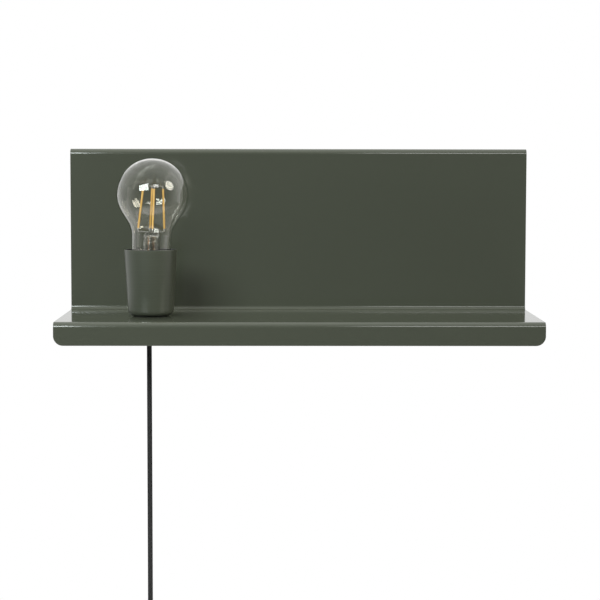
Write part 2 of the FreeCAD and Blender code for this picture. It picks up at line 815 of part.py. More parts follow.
def cap_insulator():
    """The black glass ring between cap and tip."""
    hole = TIP_STEM_R + SEAT_GAP
    rim = CAP_FOOT_R - THREAD_GAP
    return leaned(turned([
        (hole, INSULATOR_FOOT, 0),
        (TIP_R + SEAT_GAP, INSULATOR_FOOT, 0),
        (rim, CAP_FOOT, 0),
        (rim, INSULATOR_FOOT + INSULATOR_HEIGHT, 0),
        (hole, INSULATOR_FOOT + INSULATOR_HEIGHT, 0),
    ]))


def contact_tip():
    """The rivet at the foot of the cap."""
    top = TIP_FOOT + TIP_THICK
    return leaned(turned([
        (0, TIP_FOOT, 0),
        (TIP_R, TIP_FOOT, TIP_ROUND),
        (TIP_R, top, 0),
        (TIP_STEM_R, top, 0),
        (TIP_STEM_R, TIP_STEM_TOP, 0),
        (0, TIP_STEM_TOP, 0),
    ]))


def bulb_driver():
    """The small supply board in the cap, with its capacitor."""
    foot = SHELF_TOP + BOARD_FOOT
    board = block(
        at(CUP_X - BOARD_WIDTH / 2, CUP_Y - BOARD_THICK / 2, foot),
        at(CUP_X + BOARD_WIDTH / 2, CUP_Y + BOARD_THICK / 2, foot + BOARD_HEIGHT),
    )
    side = CUP_Y - BOARD_THICK / 2 - CAPACITOR_R
    capacitor = post(CAPACITOR_R, at(CUP_X, side, foot + BOARD_THICK), UP, CAPACITOR_HEIGHT)
    return leaned(compound([board, capacitor]))


def filament_ends(index):
    """The foot and the head of one filament in the upright bulb, the whole set askew to the right."""
    angle = math.radians(FILAMENT_TURN) + 2 * math.pi * index / FILAMENT_COUNT
    lean = math.tan(math.radians(FILAMENT_LEAN)) * (FILAMENT_HEAD - FILAMENT_FOOT) / 2
    foot = at(
        CUP_X - lean + FILAMENT_FOOT_R * math.cos(angle),
        CUP_Y + FILAMENT_FOOT_R * math.sin(angle),
        SHELF_TOP + FILAMENT_FOOT,
    )
    head = at(
        CUP_X + lean + FILAMENT_HEAD_R * math.cos(angle),
        CUP_Y + FILAMENT_HEAD_R * math.sin(angle),
        SHELF_TOP + FILAMENT_HEAD,
    )
    return foot, head


def filaments():
    """The four coated rods that glow."""
    rods = []
    for i in range(FILAMENT_COUNT):
        foot, head = filament_ends(i)
        way = (head - foot).normalize()
        length = foot.distanceToPoint(head) - 2 * FILAMENT_TIP
        rods.append(post(FILAMENT_R, foot + way * FILAMENT_TIP, way, length))
    return leaned(compound(rods))


def filament_tips():
    """The bare metal ends of the filaments."""
    tips = []
    for i in range(FILAMENT_COUNT):
        foot, head = filament_ends(i)
        way = (head - foot).normalize()
        tips.append(post(FILAMENT_TIP_R, foot, way, FILAMENT_TIP))
        tips.append(post(FILAMENT_TIP_R, head - way * FILAMENT_TIP, way, FILAMENT_TIP))
    return leaned(compound(tips))


def support_wires():
    """A wire from the stem to each filament's foot, and a link across each pair of heads."""
    top = SHELF_TOP + STEM_HEAD + SUPPORT_R
    wires = []
    for i in range(FILAMENT_COUNT):
        foot, _ = filament_ends(i)
        outwards = at(foot.x - CUP_X, foot.y - CUP_Y, 0).normalize()
        start = at(CUP_X, CUP_Y, top) + outwards * SUPPORT_START_R
        end = foot - UP * (FILAMENT_TIP_R + SUPPORT_R)
        wires.append(post(SUPPORT_R, start, end - start, start.distanceToPoint(end)))
        wires.append(post(SUPPORT_R, end, UP, foot.z - end.z))
    for i in range(0, FILAMENT_COUNT, 2):
        _, near = filament_ends(i)
        _, far = filament_ends(i + 1)
        rise = UP * SUPPORT_R
        wires.append(post(SUPPORT_R, near + rise, far - near, near.distanceToPoint(far)))
    return leaned(compound(merged(wires)))


def merged(wires):
    """The wires joined where they meet, as a list of separate solids."""
    return wires[0].fuse(wires[1:]).Solids


# ---- cord and switch ----------------------------------------------------------------------------------

def cord_in_lamp():
    """The held end of the cord, from the holder through the nipple to the grip's mouth."""
    points = [
        at(CUP_X, CUP_Y, SHELF_TOP + CORD_TOP),
        at(CUP_X, CUP_Y, SHELF_TOP - CORD_BEND_HIGH),
        at(DROP_X, CUP_Y, SHELF_TOP - CORD_BEND_LOW),
        at(DROP_X, CUP_Y, GRIP_FOOT),
    ]
    path, radii = bent_path(points)
    report_tube("cord_in_lamp", path, radii)
    return tube_along(path, CORD_R)


def cord_drop():
    """The straight hanging stretch from the grip to the switch."""
    length = GRIP_FOOT - SWITCH_TOP + CORD_ENTRY
    return post(CORD_R, at(DROP_X, CUP_Y, GRIP_FOOT), -UP, length)


def cord_lead():
    """The straight stretch from the switch to the coil."""
    start = SWITCH_TOP - 2 * SWITCH_HALF_LENGTH + CORD_ENTRY
    return post(CORD_R, at(DROP_X, CUP_Y, start), -UP, start - COIL_CENTRE_Z - 2 * CORD_R)


def switch_outline(inset, start_y):
    """The switch's long eight-sided outline, set in from its outer face."""
    half_width = SWITCH_HALF_WIDTH - inset
    nose = SWITCH_NOSE_HALF - inset
    half_length = SWITCH_HALF_LENGTH - (SWITCH_END_WALL if inset else 0)
    quarter = [(half_width, -SWITCH_SHOULDER + inset), (half_width, SWITCH_SHOULDER - inset)]
    flat = quarter + [
        (nose, half_length),
        (-nose, half_length),
        (-half_width, SWITCH_SHOULDER - inset),
        (-half_width, -SWITCH_SHOULDER + inset),
        (-nose, -half_length),
        (nose, -half_length),
    ]
    shoulder = SWITCH_CORNER - inset
    tip = SWITCH_NOSE_CORNER - inset / 2
    radii = [shoulder, shoulder, tip, tip, shoulder, shoulder, tip, tip]
    return [at(DROP_X + x, start_y, SWITCH_Z + z) for x, z in flat], radii


def switch_case():
    """The whole hollow case, before it is parted into two shells."""
    corners, radii = switch_outline(0, CUP_Y - SWITCH_HALF_DEPTH)
    outer = prism(corners, radii, TO_WALL * (2 * SWITCH_HALF_DEPTH))
    outer = round_rims(outer, SWITCH_EDGE)
    corners, radii = switch_outline(SWITCH_WALL, CUP_Y - SWITCH_HALF_DEPTH + SWITCH_WALL)
    hollow = prism(corners, radii, TO_WALL * (2 * (SWITCH_HALF_DEPTH - SWITCH_WALL)))
    entries = [
        post(CORD_R + THREAD_GAP, at(DROP_X, CUP_Y, SWITCH_Z + SWITCH_HALF_LENGTH), -UP, CORD_ENTRY),
        post(CORD_R + THREAD_GAP, at(DROP_X, CUP_Y, SWITCH_Z - SWITCH_HALF_LENGTH), UP, CORD_ENTRY),
    ]
    return outer.cut([hollow] + entries)


def half_space(front):
    """A block that covers the switch's front or back half."""
    reach = SWITCH_HALF_DEPTH + SWITCH_WALL
    near = CUP_Y - reach if front else CUP_Y
    low = at(DROP_X - SWITCH_HALF_LENGTH, near, SWITCH_Z - 2 * SWITCH_HALF_LENGTH)
    high = at(DROP_X + SWITCH_HALF_LENGTH, near + reach, SWITCH_Z + 2 * SWITCH_HALF_LENGTH)
    return block(low, high)


def screw_places():
    """The two opposite corners where the case is screwed together."""
    aside = SWITCH_HALF_WIDTH - SWITCH_SCREW_INSET
    along = SWITCH_HALF_LENGTH - SWITCH_SCREW_END
    return [(DROP_X + side * aside, SWITCH_Z + side * along) for side in (-1, 1)]


def screw_bosses(front):
    """The posts inside one shell that the case screws run through."""
    wall_face = SWITCH_HALF_DEPTH - SWITCH_WALL
    start = CUP_Y - wall_face if front else CUP_Y
    return [post(SWITCH_BOSS_R, at(x, start, z), TO_WALL, wall_face) for x, z in screw_places()]


def switch_screw_bars(shank_r, head_r):
    """The case screws, entered from the back, as bars of the given radii."""
    back = CUP_Y + SWITCH_HALF_DEPTH
    length = 2 * SWITCH_HALF_DEPTH - 2 * SWITCH_WALL
    bars = []
    for x, z in screw_places():
        head = post(head_r, at(x, back, z), -TO_WALL, SWITCH_SCREW_HEAD)
        bars.append(head.fuse(post(shank_r, at(x, back, z), -TO_WALL, length)))
    return bars


def rocker_ears():
    """Two lugs behind the window, bored for the rocker's trunnions."""
    inner_wall = CUP_Y - SWITCH_HALF_DEPTH + SWITCH_WALL
    depth = PIVOT_Y + EAR_HALF - inner_wall
    gap = ROCKER_HALF_WIDTH + SEAT_GAP
    ears = []
    for side in (-1, 1):
        inside = DROP_X + side * gap
        outside = inside + side * EAR_THICK
        low = at(min(inside, outside), inner_wall, SWITCH_Z - EAR_HALF)
        ears.append(block(low, low + at(EAR_THICK, depth, 2 * EAR_HALF)))
    return ears


def across(radius, half_length):
    """A level bar on the rocker's pivot."""
    return post(radius, at(DROP_X - half_length, PIVOT_Y, SWITCH_Z), ALONG, 2 * half_length)


def switch_front():
    """The front shell, with a round-ended window and two ears for the rocker."""
    shell = switch_case().common(half_space(True))
    shell = shell.cut(across(ROCKER_R + SEAT_GAP, ROCKER_HALF_WIDTH + SEAT_GAP))
    shell = shell.fuse(rocker_ears() + screw_bosses(True))
    cuts = [across(TRUNNION_R + RUNNING_GAP, TRUNNION_HALF + EAR_THICK)]
    cuts += switch_screw_bars(SWITCH_SCREW_R + THREAD_GAP, SWITCH_SCREW_HEAD_R)
    return shell.cut(cuts).removeSplitter()


def switch_back():
    """The back shell, with sunk places for the screw heads."""
    shell = switch_case().common(half_space(False)).fuse(screw_bosses(False))
    holes = switch_screw_bars(SWITCH_SCREW_R + THREAD_GAP, SWITCH_SCREW_HEAD_R + THREAD_GAP)
    return shell.cut(holes).removeSplitter()


def switch_screws():
    """The two screws that hold the case, each with a cross-head recess."""
    screws = []
    back = CUP_Y + SWITCH_HALF_DEPTH
    depth = SWITCH_SCREW_SLOT_DEPTH
    for bar, (x, z) in zip(switch_screw_bars(SWITCH_SCREW_R, SWITCH_SCREW_HEAD_R), screw_places()):
        centre = at(x, back, z)
        level = at(SWITCH_SCREW_SLOT_HALF, depth, SWITCH_SCREW_SLOT / 2)
        upright = at(SWITCH_SCREW_SLOT / 2, depth, SWITCH_SCREW_SLOT_HALF)
        screws.append(bar.cut([block(centre - half, centre + half) for half in (level, upright)]))
    return compound(screws)


def switch_rocker():
    """The rocker at rest, its lower half raised: a cut disc with two sloping faces and two trunnions."""
    rise = ROCKER_PIVOT + ROCKER_PROUD
    tip = rise + ROCKER_R * math.tan(math.radians(ROCKER_ANGLE))
    side = [
        (0, rise),
        (-ROCKER_R, tip),
        (-ROCKER_R, -ROCKER_SKIRT),
        (ROCKER_R, -ROCKER_SKIRT),
        (ROCKER_R, tip),
    ]
    start = DROP_X - ROCKER_HALF_WIDTH
    corners = [at(start, PIVOT_Y - out, SWITCH_Z + along) for along, out in side]
    blank = prism(corners, [0] * len(corners), ALONG * (2 * ROCKER_HALF_WIDTH))
    rocker = blank.common(across(ROCKER_R, ROCKER_HALF_WIDTH)).fuse(across(TRUNNION_R, TRUNNION_HALF))
    rocker.rotate(at(DROP_X, PIVOT_Y, SWITCH_Z), ALONG, -ROCKER_ANGLE)
    return rocker.removeSplitter()


def switch_contacts():
    """Two brass springs on the back shell's floor, under the ends of the rocker."""
    floor = CUP_Y + SWITCH_HALF_DEPTH - SWITCH_WALL
    head = PIVOT_Y + ROCKER_SKIRT + SWITCH_CONTACT_BELOW
    contacts = []
    for side in (-1, 1):
        face = [
            (floor - CONTACT_STRIP, SWITCH_CONTACT_FOOT),
            (floor - CONTACT_STRIP, SWITCH_CONTACT_BEND),
            (head + CONTACT_STRIP, SWITCH_CONTACT_HEAD),
            (head + CONTACT_STRIP, SWITCH_CONTACT_END),
        ]
        strip = folded_strip(face, [CONTACT_STRIP] * 2, -CONTACT_STRIP, SWITCH_CONTACT_WIDTH)
        if side < 0:
            strip = strip.mirror(NOWHERE, UP)
        strip.translate(at(DROP_X, 0, SWITCH_Z))
        contacts.append(strip)
    return compound(contacts)


# ---- coil, tail and plug ------------------------------------------------------------------------------

def coil_stations():
    """Where the cord crosses the coil's level line: (radius, layer height) at every half turn."""
    stations = []
    radius = COIL_OUTER_R
    step = -COIL_RADIAL_STEP / 2
    for layer in range(COIL_LAYERS):
        for _ in range(COIL_HALF_TURNS):
            stations.append((radius, layer * COIL_LAYER_STEP))
            radius += step
        stations.append((radius, layer * COIL_LAYER_STEP))
        step = -step
    stations.append((radius - step, (COIL_LAYERS - 1) * COIL_LAYER_STEP))
    return stations


def coil_points():
    """The stations as points, on the left and the right in turn, with the way the cord runs there."""
    points = []
    for i, (radius, layer) in enumerate(coil_stations()):
        side = -1 if i % 2 == 0 else 1
        place = at(COIL_X + side * radius, CUP_Y + layer, COIL_CENTRE_Z)
        points.append((place, at(0, 0, side)))
    return points


def quarter_arcs(start, start_way, end, end_way):
    """The two arcs of a half turn: they share a tangent where they meet."""
    reach = start.distanceToPoint(end) / 2
    first = start + start_way * reach
    second = end - end_way * reach
    joint = (first + second) * 0.5
    return [
        Part.Arc(start, arc_middle(start, first, joint), joint).toShape(),
        Part.Arc(joint, arc_middle(joint, second, end), end).toShape(),
    ]


def arc_middle(start, corner, end):
    """The middle of the arc that touches the runs from a corner to two points as far from it."""
    half = (start - corner).getAngle(end - corner) / 2
    reach = start.distanceToPoint(corner)
    towards = ((start - corner).normalize() + (end - corner).normalize()).normalize()
    radius = reach * math.tan(half)
    return corner + towards * (radius / math.sin(half) - radius)


def coil_path():
    """The wound path, with a straight end of one diameter at each side."""
    points = coil_points()
    first, first_way = points[0]
    last, last_way = points[-1]
    lead = 2 * CORD_R
    edges = [Part.LineSegment(first - first_way * lead, first).toShape()]
    for (start, start_way), (end, end_way) in zip(points, points[1:]):
        edges += quarter_arcs(start, start_way, end, end_way)
    edges.append(Part.LineSegment(last, last + last_way * lead).toShape())
    return Part.Wire(edges)


def least_gap(wire):
    """The least distance between turns of a wound path, less the cord's diameter."""
    step = CORD_R / 2
    samples = wire.discretize(Distance=step)
    apart = int(math.pi * COIL_INNER_R / step)
    least = min(
        samples[i].distanceToPoint(samples[j])
        for i in range(len(samples))
        for j in range(i + apart, len(samples))
    )
    return least - 2 * CORD_R


def cord_coil():
    """The spare cord, wound in layers as one unbroken tube."""
    path = coil_path()
    tube = tube_along(path, CORD_R)
    loops = (len(coil_points()) - 1) / 2
    print(f"cord_coil: {loops:g} loops, {path.Length:.0f} mm, least gap to itself {least_gap(path):.2f} mm")
    report_volume("cord_coil", tube, path)
    return tube


def coil_tie():
    """A strap round the bundle at the coil's right side."""
    gap = CORD_R + TIE_GAP
    radii = [radius for radius, _ in coil_stations()]
    left = COIL_X + min(radii) - gap
    right = COIL_X + max(radii) + gap
    front = CUP_Y - gap
    back = TAIL_Y + gap
    foot = COIL_CENTRE_Z - TIE_HEIGHT / 2

    def ring(extra):
        corners = [
            at(left - extra, front - extra, foot),
            at(right + extra, front - extra, foot),
            at(right + extra, back + extra, foot),
            at(left - extra, back + extra, foot),
        ]
        return prism(corners, [TIE_ROUND + extra] * 4, UP * TIE_HEIGHT)

    return ring(TIE_THICK).cut(ring(0))


def cord_tail():
    """The short free stretch from the coil to the plug."""
    points = [
        at(TAIL_X, TAIL_Y, COIL_CENTRE_Z - 2 * CORD_R),
        at(TAIL_X, TAIL_Y, TAIL_BEND_HIGH),
        at(PLUG_X, PLUG_Y, TAIL_BEND_LOW),
        at(PLUG_X, PLUG_Y, PLUG_TOP),
    ]
    path, radii = bent_path(points)
    report_tube("cord_tail", path, radii)
    tube = tube_along(path, CORD_R)
    report_volume("cord_tail", tube, path)
    return tube


def relief_radius(height):
    """The sleeve's outer radius at a height below its top."""
    return RELIEF_TOP_R + (RELIEF_TOP_R - RELIEF_FOOT_R) * height / RELIEF_LENGTH


def plug_relief():
    """The ribbed sleeve where the cord enters the plug."""
    pitch = RELIEF_LENGTH / (RELIEF_RIBS + 0.5)
    groove = pitch / 2
    profile = [(0, 0, 0), (RELIEF_TOP_R, 0, 0)]
    for i in range(RELIEF_RIBS):
        high = -(i + 0.5) * pitch
        low = high - groove
        inner = relief_radius(high) - RELIEF_GROOVE
        profile += [(relief_radius(high), high, 0), (inner, high, 0)]
        profile += [(inner, low, 0), (relief_radius(low), low, 0)]
    profile += [(RELIEF_FOOT_R, -RELIEF_LENGTH, 0), (0, -RELIEF_LENGTH, 0)]
    return turned(profile, PLUG_X, PLUG_Y, PLUG_TOP)


def plug_body():
    """The flat moulded plug, broad at its face and drawn in towards the cord."""
    top = PLUG_FACE + PLUG_LENGTH
    shoulder = PLUG_FACE + PLUG_SKIRT
    start = PLUG_Y - PLUG_HALF_DEPTH
    corners = [
        at(PLUG_X - PLUG_HALF_WIDTH, start, PLUG_FACE),
        at(PLUG_X + PLUG_HALF_WIDTH, start, PLUG_FACE),
        at(PLUG_X + PLUG_HALF_WIDTH, start, shoulder),
        at(PLUG_X + PLUG_NECK_HALF, start, top),
        at(PLUG_X - PLUG_NECK_HALF, start, top),
        at(PLUG_X - PLUG_HALF_WIDTH, start, shoulder),
    ]
    radii = [PLUG_FACE_CORNER, PLUG_FACE_CORNER, PLUG_SHOULDER, PLUG_CORNER, PLUG_CORNER, PLUG_SHOULDER]
    body = prism(corners, radii, TO_WALL * (2 * PLUG_HALF_DEPTH))
    return round_rims(body, PLUG_EDGE)


def plug_pins():
    """The two round pins, with rounded tips."""
    profile = [(0, 0, 0), (PIN_R, 0, 0), (PIN_R, -PIN_LENGTH, PIN_ROUND), (0, -PIN_LENGTH, 0)]
    return compound([
        turned(profile, PLUG_X + side * PIN_SPACING / 2, PLUG_Y, PLUG_FACE) for side in (-1, 1)
    ])


# ---- build --------------------------------------------------------------------------------------------

def report_tube(name, path, radii):
    """Prints a tube's length and the radii of its bends."""
    print(f"{name}: {path.Length:.1f} mm, bend radii " + ", ".join(f"{radius:.1f}" for radius in radii))


def report_volume(name, solid, path):
    """Prints a tube's volume over its section times its length."""
    share = solid.Volume / (math.pi * CORD_R ** 2 * path.Length)
    print(f"{name}: volume over section times length {share:.4f}")


SUBPARTS = [
    wall_bracket, shelf_body, wall_bumpers, cup_gasket, cup, holder_cap, holder_skirt, holder_insert,
    holder_terminals, screw_shell, centre_contact, core_wires, nipple, toothed_washer, lock_nut, cord_grip,
    grip_screw, bulb_glass, bulb_stem, bulb_cap, cap_insulator, contact_tip, bulb_driver, filaments,
    filament_tips, support_wires, cord_in_lamp, cord_drop, cord_lead, switch_front, switch_back,
    switch_screws, switch_rocker, switch_contacts, cord_coil, coil_tie, cord_tail, plug_relief, plug_body,
    plug_pins,
]


def main():
    """Builds each sub-part and writes it to its own file."""
    os.makedirs("parts", exist_ok=True)
    for make in SUBPARTS:
        shape = make()
        shape.exportStep(f"parts/{make.__name__}.step")
        print(f"{make.__name__}: {len(shape.Solids)} solids, {shape.Volume:.1f} mm3, valid {shape.isValid()}")


main()
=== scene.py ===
"""Wall lamp with a shelf: the looks of a folded steel shelf lamp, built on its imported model.

Sizes of pieces are millimetres, as in the part's own drawing, and a mesh becomes metres when its piece is made.
The studio is in metres. +X is to the right as seen from the room, +Y goes into the wall and +Z is up.
"""

import json
import logging
import math
from collections.abc import Callable, Iterable, Mapping, Sequence
from dataclasses import dataclass
from enum import Enum
from typing import Any

import bmesh
import bpy
from mathutils import Matrix, Vector

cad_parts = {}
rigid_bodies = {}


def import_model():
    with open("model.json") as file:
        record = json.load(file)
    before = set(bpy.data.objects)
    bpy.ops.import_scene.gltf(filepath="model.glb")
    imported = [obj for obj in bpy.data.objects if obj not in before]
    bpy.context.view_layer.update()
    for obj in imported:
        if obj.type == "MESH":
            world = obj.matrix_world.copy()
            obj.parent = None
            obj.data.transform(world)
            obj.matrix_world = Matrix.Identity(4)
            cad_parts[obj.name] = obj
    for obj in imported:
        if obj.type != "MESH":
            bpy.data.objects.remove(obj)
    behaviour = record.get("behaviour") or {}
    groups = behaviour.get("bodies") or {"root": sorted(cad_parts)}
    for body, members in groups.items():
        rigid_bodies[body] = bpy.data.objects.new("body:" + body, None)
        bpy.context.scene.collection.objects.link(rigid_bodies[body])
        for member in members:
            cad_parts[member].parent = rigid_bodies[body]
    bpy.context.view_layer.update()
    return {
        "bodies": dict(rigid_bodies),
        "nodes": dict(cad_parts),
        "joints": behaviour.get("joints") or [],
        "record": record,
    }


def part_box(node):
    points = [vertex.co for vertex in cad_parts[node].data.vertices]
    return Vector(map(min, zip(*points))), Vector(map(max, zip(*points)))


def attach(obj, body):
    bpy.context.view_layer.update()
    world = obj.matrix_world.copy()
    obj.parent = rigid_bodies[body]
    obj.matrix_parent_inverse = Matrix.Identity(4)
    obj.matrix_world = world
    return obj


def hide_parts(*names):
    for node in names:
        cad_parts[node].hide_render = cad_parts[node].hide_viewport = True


LOG = logging.getLogger("wall_lamp")

MM = 0.001
SHELF = -152.0  # the height of the shelf's upper face, which the cup and the bulb stand on
CUP_X, CUP_Y = -156.5, -100.0
BORE_R = 5.2
CUP_AXIS = (CUP_X * MM, CUP_Y * MM, 0.0)
LEVEL, ON_CUT, WELD = 0.01, 0.0001, 0.001  # how near counts as level, as on a cut and as the same point
UP = Vector((0.0, 0.0, 1.0))

Colour = tuple[float, float, float]
Point = tuple[float, float, float]
Socket = bpy.types.NodeSocket
Node = bpy.types.Node
Feed = Socket | float | Sequence[float]
Given = Mapping[str, Socket]
Fed = dict[str, Feed]
Mesh = bmesh.types.BMesh
Vert = bmesh.types.BMVert
Edge = bmesh.types.BMEdge
Face = bmesh.types.BMFace


class Body(Enum):
    """The bodies that the pieces made here ride on."""

    LAMP = "lamp"
    BULB = "bulb"


class Relief(Enum):
    """The fine surface relief of a finish."""

    PLAIN = "plain"
    GRAIN = "grain"
    SPUN = "spun"
    DRAWN = "drawn"
    THREADED = "threaded"


# ---- node trees -----------------------------------------------------------------------------------------


class Wiring:
    """Adds nodes to one tree and wires them."""

    def __init__(self, tree: bpy.types.NodeTree, centre: Point | None = None) -> None:
        """Starts on a tree.

        Args:
            tree: The node tree of a material, a world or a shader group.
            centre: The origin of the object coordinates, where the tree uses them.
        """
        self.tree = tree
        if centre is not None:
            shift = self.add("ShaderNodeMapping")
            shift.inputs["Location"].default_value = [-value for value in centre]
            self.feed(shift.inputs["Vector"], self.add("ShaderNodeTexCoord").outputs["Object"])
            self.place = shift.outputs[0]

    def add(self, kind: str, **settings: Any) -> Node:
        """Adds a node.

        Args:
            kind: The node's type name.
            settings: The node's own properties.

        Returns:
            The new node.
        """
        node = self.tree.nodes.new(kind)
        for name, value in settings.items():
            setattr(node, name, value)
        return node

    def feed(self, socket: Socket, value: Feed) -> None:
        """Links a socket, or sets its value.

        Args:
            socket: The input to feed.
            value: An output to link, or a number or colour to set.
        """
        if isinstance(value, Socket):
            self.tree.links.new(value, socket)
        elif isinstance(value, (int, float)):
            socket.default_value = float(value)
        else:
            socket.default_value = (*value, 1.0)[:len(socket.default_value)]

    def feed_all(self, node: Node, *values: Feed) -> Node:
        """Feeds a node's first inputs.

        Args:
            node: The node.
            values: What they get, in order.

        Returns:
            The same node.
        """
        for socket, value in zip(node.inputs, values):
            self.feed(socket, value)
        return node

    def math(self, operation: str, first: Feed, second: Feed = 0.0, third: Feed = 0.0) -> Socket:
        """The result of one Math node with up to three numbers."""
        return self.feed_all(self.add("ShaderNodeMath", operation=operation), first, second, third).outputs[0]

    def vector(self, operation: str, first: Feed, second: Feed) -> Socket:
        """Puts vectors through one Vector Math node.

        Args:
            operation: The node's operation.
            first: The first vector.
            second: The second vector, or the factor of SCALE.

        Returns:
            The result's socket, which is a number for DOT_PRODUCT and DISTANCE.
        """
        node = self.feed_all(self.add("ShaderNodeVectorMath", operation=operation), first)
        self.feed(node.inputs["Scale" if operation == "SCALE" else 1], second)
        return node.outputs["Value" if operation in ("DOT_PRODUCT", "DISTANCE") else "Vector"]

    def split(self, vector: Feed) -> Sequence[Socket]:
        """The X, Y and Z outputs of a vector."""
        return self.feed_all(self.add("ShaderNodeSeparateXYZ"), vector).outputs

    def noise(self, vector: Feed, scale: Feed, detail: float = 2.0) -> Socket:
        """Soft noise about a half.

        Args:
            vector: The coordinates.
            scale: Waves per metre.
            detail: How many finer octaves are added.

        Returns:
            The noise's value.
        """
        node = self.add("ShaderNodeTexNoise")
        for name, value in (("Vector", vector), ("Scale", scale), ("Detail", detail)):
            self.feed(node.inputs[name], value)
        return node.outputs[0]

    def span(self, value: Feed, low: float, high: float, to_low: Feed, to_high: Feed) -> Socket:
        """Maps a span of numbers to another, softly and within its ends.

        Args:
            value: The number to map.
            low: Where the span starts.
            high: Where the span ends.
            to_low: The result at its start.
            to_high: The result at its end.

        Returns:
            The mapped number.
        """
        node = self.add("ShaderNodeMapRange", interpolation_type="SMOOTHSTEP")
        return self.feed_all(node, value, low, high, to_low, to_high).outputs[0]

    def blend(self, share: Feed, first: Feed, second: Feed) -> Socket:
        """Mixes two colours.

        Args:
            share: How much of the second colour shows.
            first: The first colour.
            second: The second colour.

        Returns:
            The mixed colour.
        """
        node = self.add("ShaderNodeMix", data_type="RGBA")
        for place, value in ((0, share), (6, first), (7, second)):
            self.feed(node.inputs[place], value)
        return node.outputs[2]

    def bump(self, height: Feed, depth: float) -> Socket:
        """The normal of a surface with fine relief.

        Args:
            height: The relief.
            depth: How deep it is, in metres.

        Returns:
            The normal's socket.
        """
        node = self.add("ShaderNodeBump")
        self.feed(node.inputs["Distance"], depth)
        self.feed(node.inputs["Height"], height)
        return node.outputs[0]

    def clear(self, share: Feed, solid: Socket) -> Socket:
        """Lets a share of the rays through a surface, given its shader."""
        through = self.add("ShaderNodeBsdfTransparent").outputs[0]
        return self.feed_all(self.add("ShaderNodeMixShader"), share, solid, through).outputs[0]

    def group(self, kind: "Pattern", **values: Feed) -> Mapping[str, Socket]:
        """Places a shared shader group with its own values.

        Args:
            kind: Which group.
            values: A value or an output for each named input, with _ for a space.

        Returns:
            The group's outputs by name.
        """
        node = self.add("ShaderNodeGroup")
        node.node_tree = kind.tree()
        for name, value in values.items():
            self.feed(node.inputs[name.replace("_", " ")], value)
        return node.outputs


def blank_tree(owner: bpy.types.Material | bpy.types.World) -> bpy.types.NodeTree:
    """Empties a node tree.

    Args:
        owner: The material or world that has it.

    Returns:
        The empty tree.
    """
    owner.use_nodes = True
    owner.node_tree.nodes.clear()
    return owner.node_tree


# ---- shared shader groups -------------------------------------------------------------------------------

FINER, FINE_SHARE = 13.0, 0.35
EDGE_TURN = (0.80, 0.995)
EDGE_BREAKS, BRAID_FUZZ = 900.0, 5200.0
DUST_GREY = (0.42, 0.41, 0.38)
DUST_PATCHES, DUST_ROUGHNESS = 38.0, 0.5
SEAM_BAND = (0.00004, 0.00022)
SEAM_SHADE, SEAM_DEPTH = 0.35, 4.0
YARN_SAG, YARN_FUZZ = 0.45, 0.25
ALONG_X, ALONG_YARN = (0.02, 1.0, 1.0), (1.0, 0.016, 1.0)


@dataclass(frozen=True)
class Pattern:
    """A shader group with named inputs and outputs, built once.

    Each input is (name, kind, default) and each output (name, kind), with kinds Float, Vector and Color. The fill
    takes the wiring and the inputs by name, and returns what feeds each output.
    """

    name: str
    inputs: tuple[tuple[str, str, Any], ...]
    outputs: tuple[tuple[str, str], ...]
    fill: Callable[[Wiring, Given], Fed]

    def tree(self) -> bpy.types.NodeTree:
        """Returns the group's tree, which is made on first use."""
        found = bpy.data.node_groups.get(self.name)
        if found is not None:
            return found
        tree = bpy.data.node_groups.new(self.name, "ShaderNodeTree")
        for name, kind, default in self.inputs:
            socket = tree.interface.new_socket(name, in_out="INPUT", socket_type=f"NodeSocket{kind}")
            if default is not None:
                socket.default_value = default
        for name, kind in self.outputs:
            tree.interface.new_socket(name, in_out="OUTPUT", socket_type=f"NodeSocket{kind}")
        w = Wiring(tree)
        given, result = w.add("NodeGroupInput").outputs, w.add("NodeGroupOutput").inputs
        for name, value in self.fill(w, given).items():
            w.feed(result[name], value)
        return tree


def fill_mottle(w: Wiring, given: Given) -> Fed:
    """Slow and fine changes of tone, and a gloss that varies with them.

    Args:
        w: The group's wiring.
        given: Its inputs by name.

    Returns:
        What feeds its outputs, by name.
    """
    slow = w.noise(given["Vector"], given["Scale"], 3.0)
    fine = w.noise(given["Vector"], w.math("MULTIPLY", given["Scale"], FINER))
    both = w.math("MULTIPLY_ADD", fine, FINE_SHARE, w.math("MULTIPLY", slow, 1.0 - FINE_SHARE))
    swing = w.math("SUBTRACT", both, 0.5)
    bright = w.math("MULTIPLY_ADD", w.math("MULTIPLY", swing, given["Amount"]), 2.0, 1.0)
    gloss = w.math("MULTIPLY", swing, given["Gloss Spread"])
    return {
        "Colour": w.vector("SCALE", given["Colour"], bright),
        "Roughness": w.math("ADD", given["Roughness"], gloss),
    }


def fill_edges(w: Wiring, given: Given) -> Fed:
    """A narrow broken band of worn colour along convex edges.

    Args:
        w: The group's wiring.
        given: Its inputs by name.

    Returns:
        What feeds its outputs, by name.
    """
    rounded = w.add("ShaderNodeBevel", samples=4)
    w.feed(rounded.inputs["Radius"], given["Width"])
    normal = w.add("ShaderNodeNewGeometry").outputs["Normal"]
    band = w.span(w.vector("DOT_PRODUCT", rounded.outputs[0], normal), *EDGE_TURN, 1.0, 0.0)
    broken = w.span(w.noise(given["Vector"], EDGE_BREAKS, 3.0), 0.35, 0.65, 0.35, 1.0)
    mask = w.math("MULTIPLY", w.math("MULTIPLY", band, broken), given["Amount"])
    return {"Colour": w.blend(mask, given["Colour"], given["Worn Colour"])}


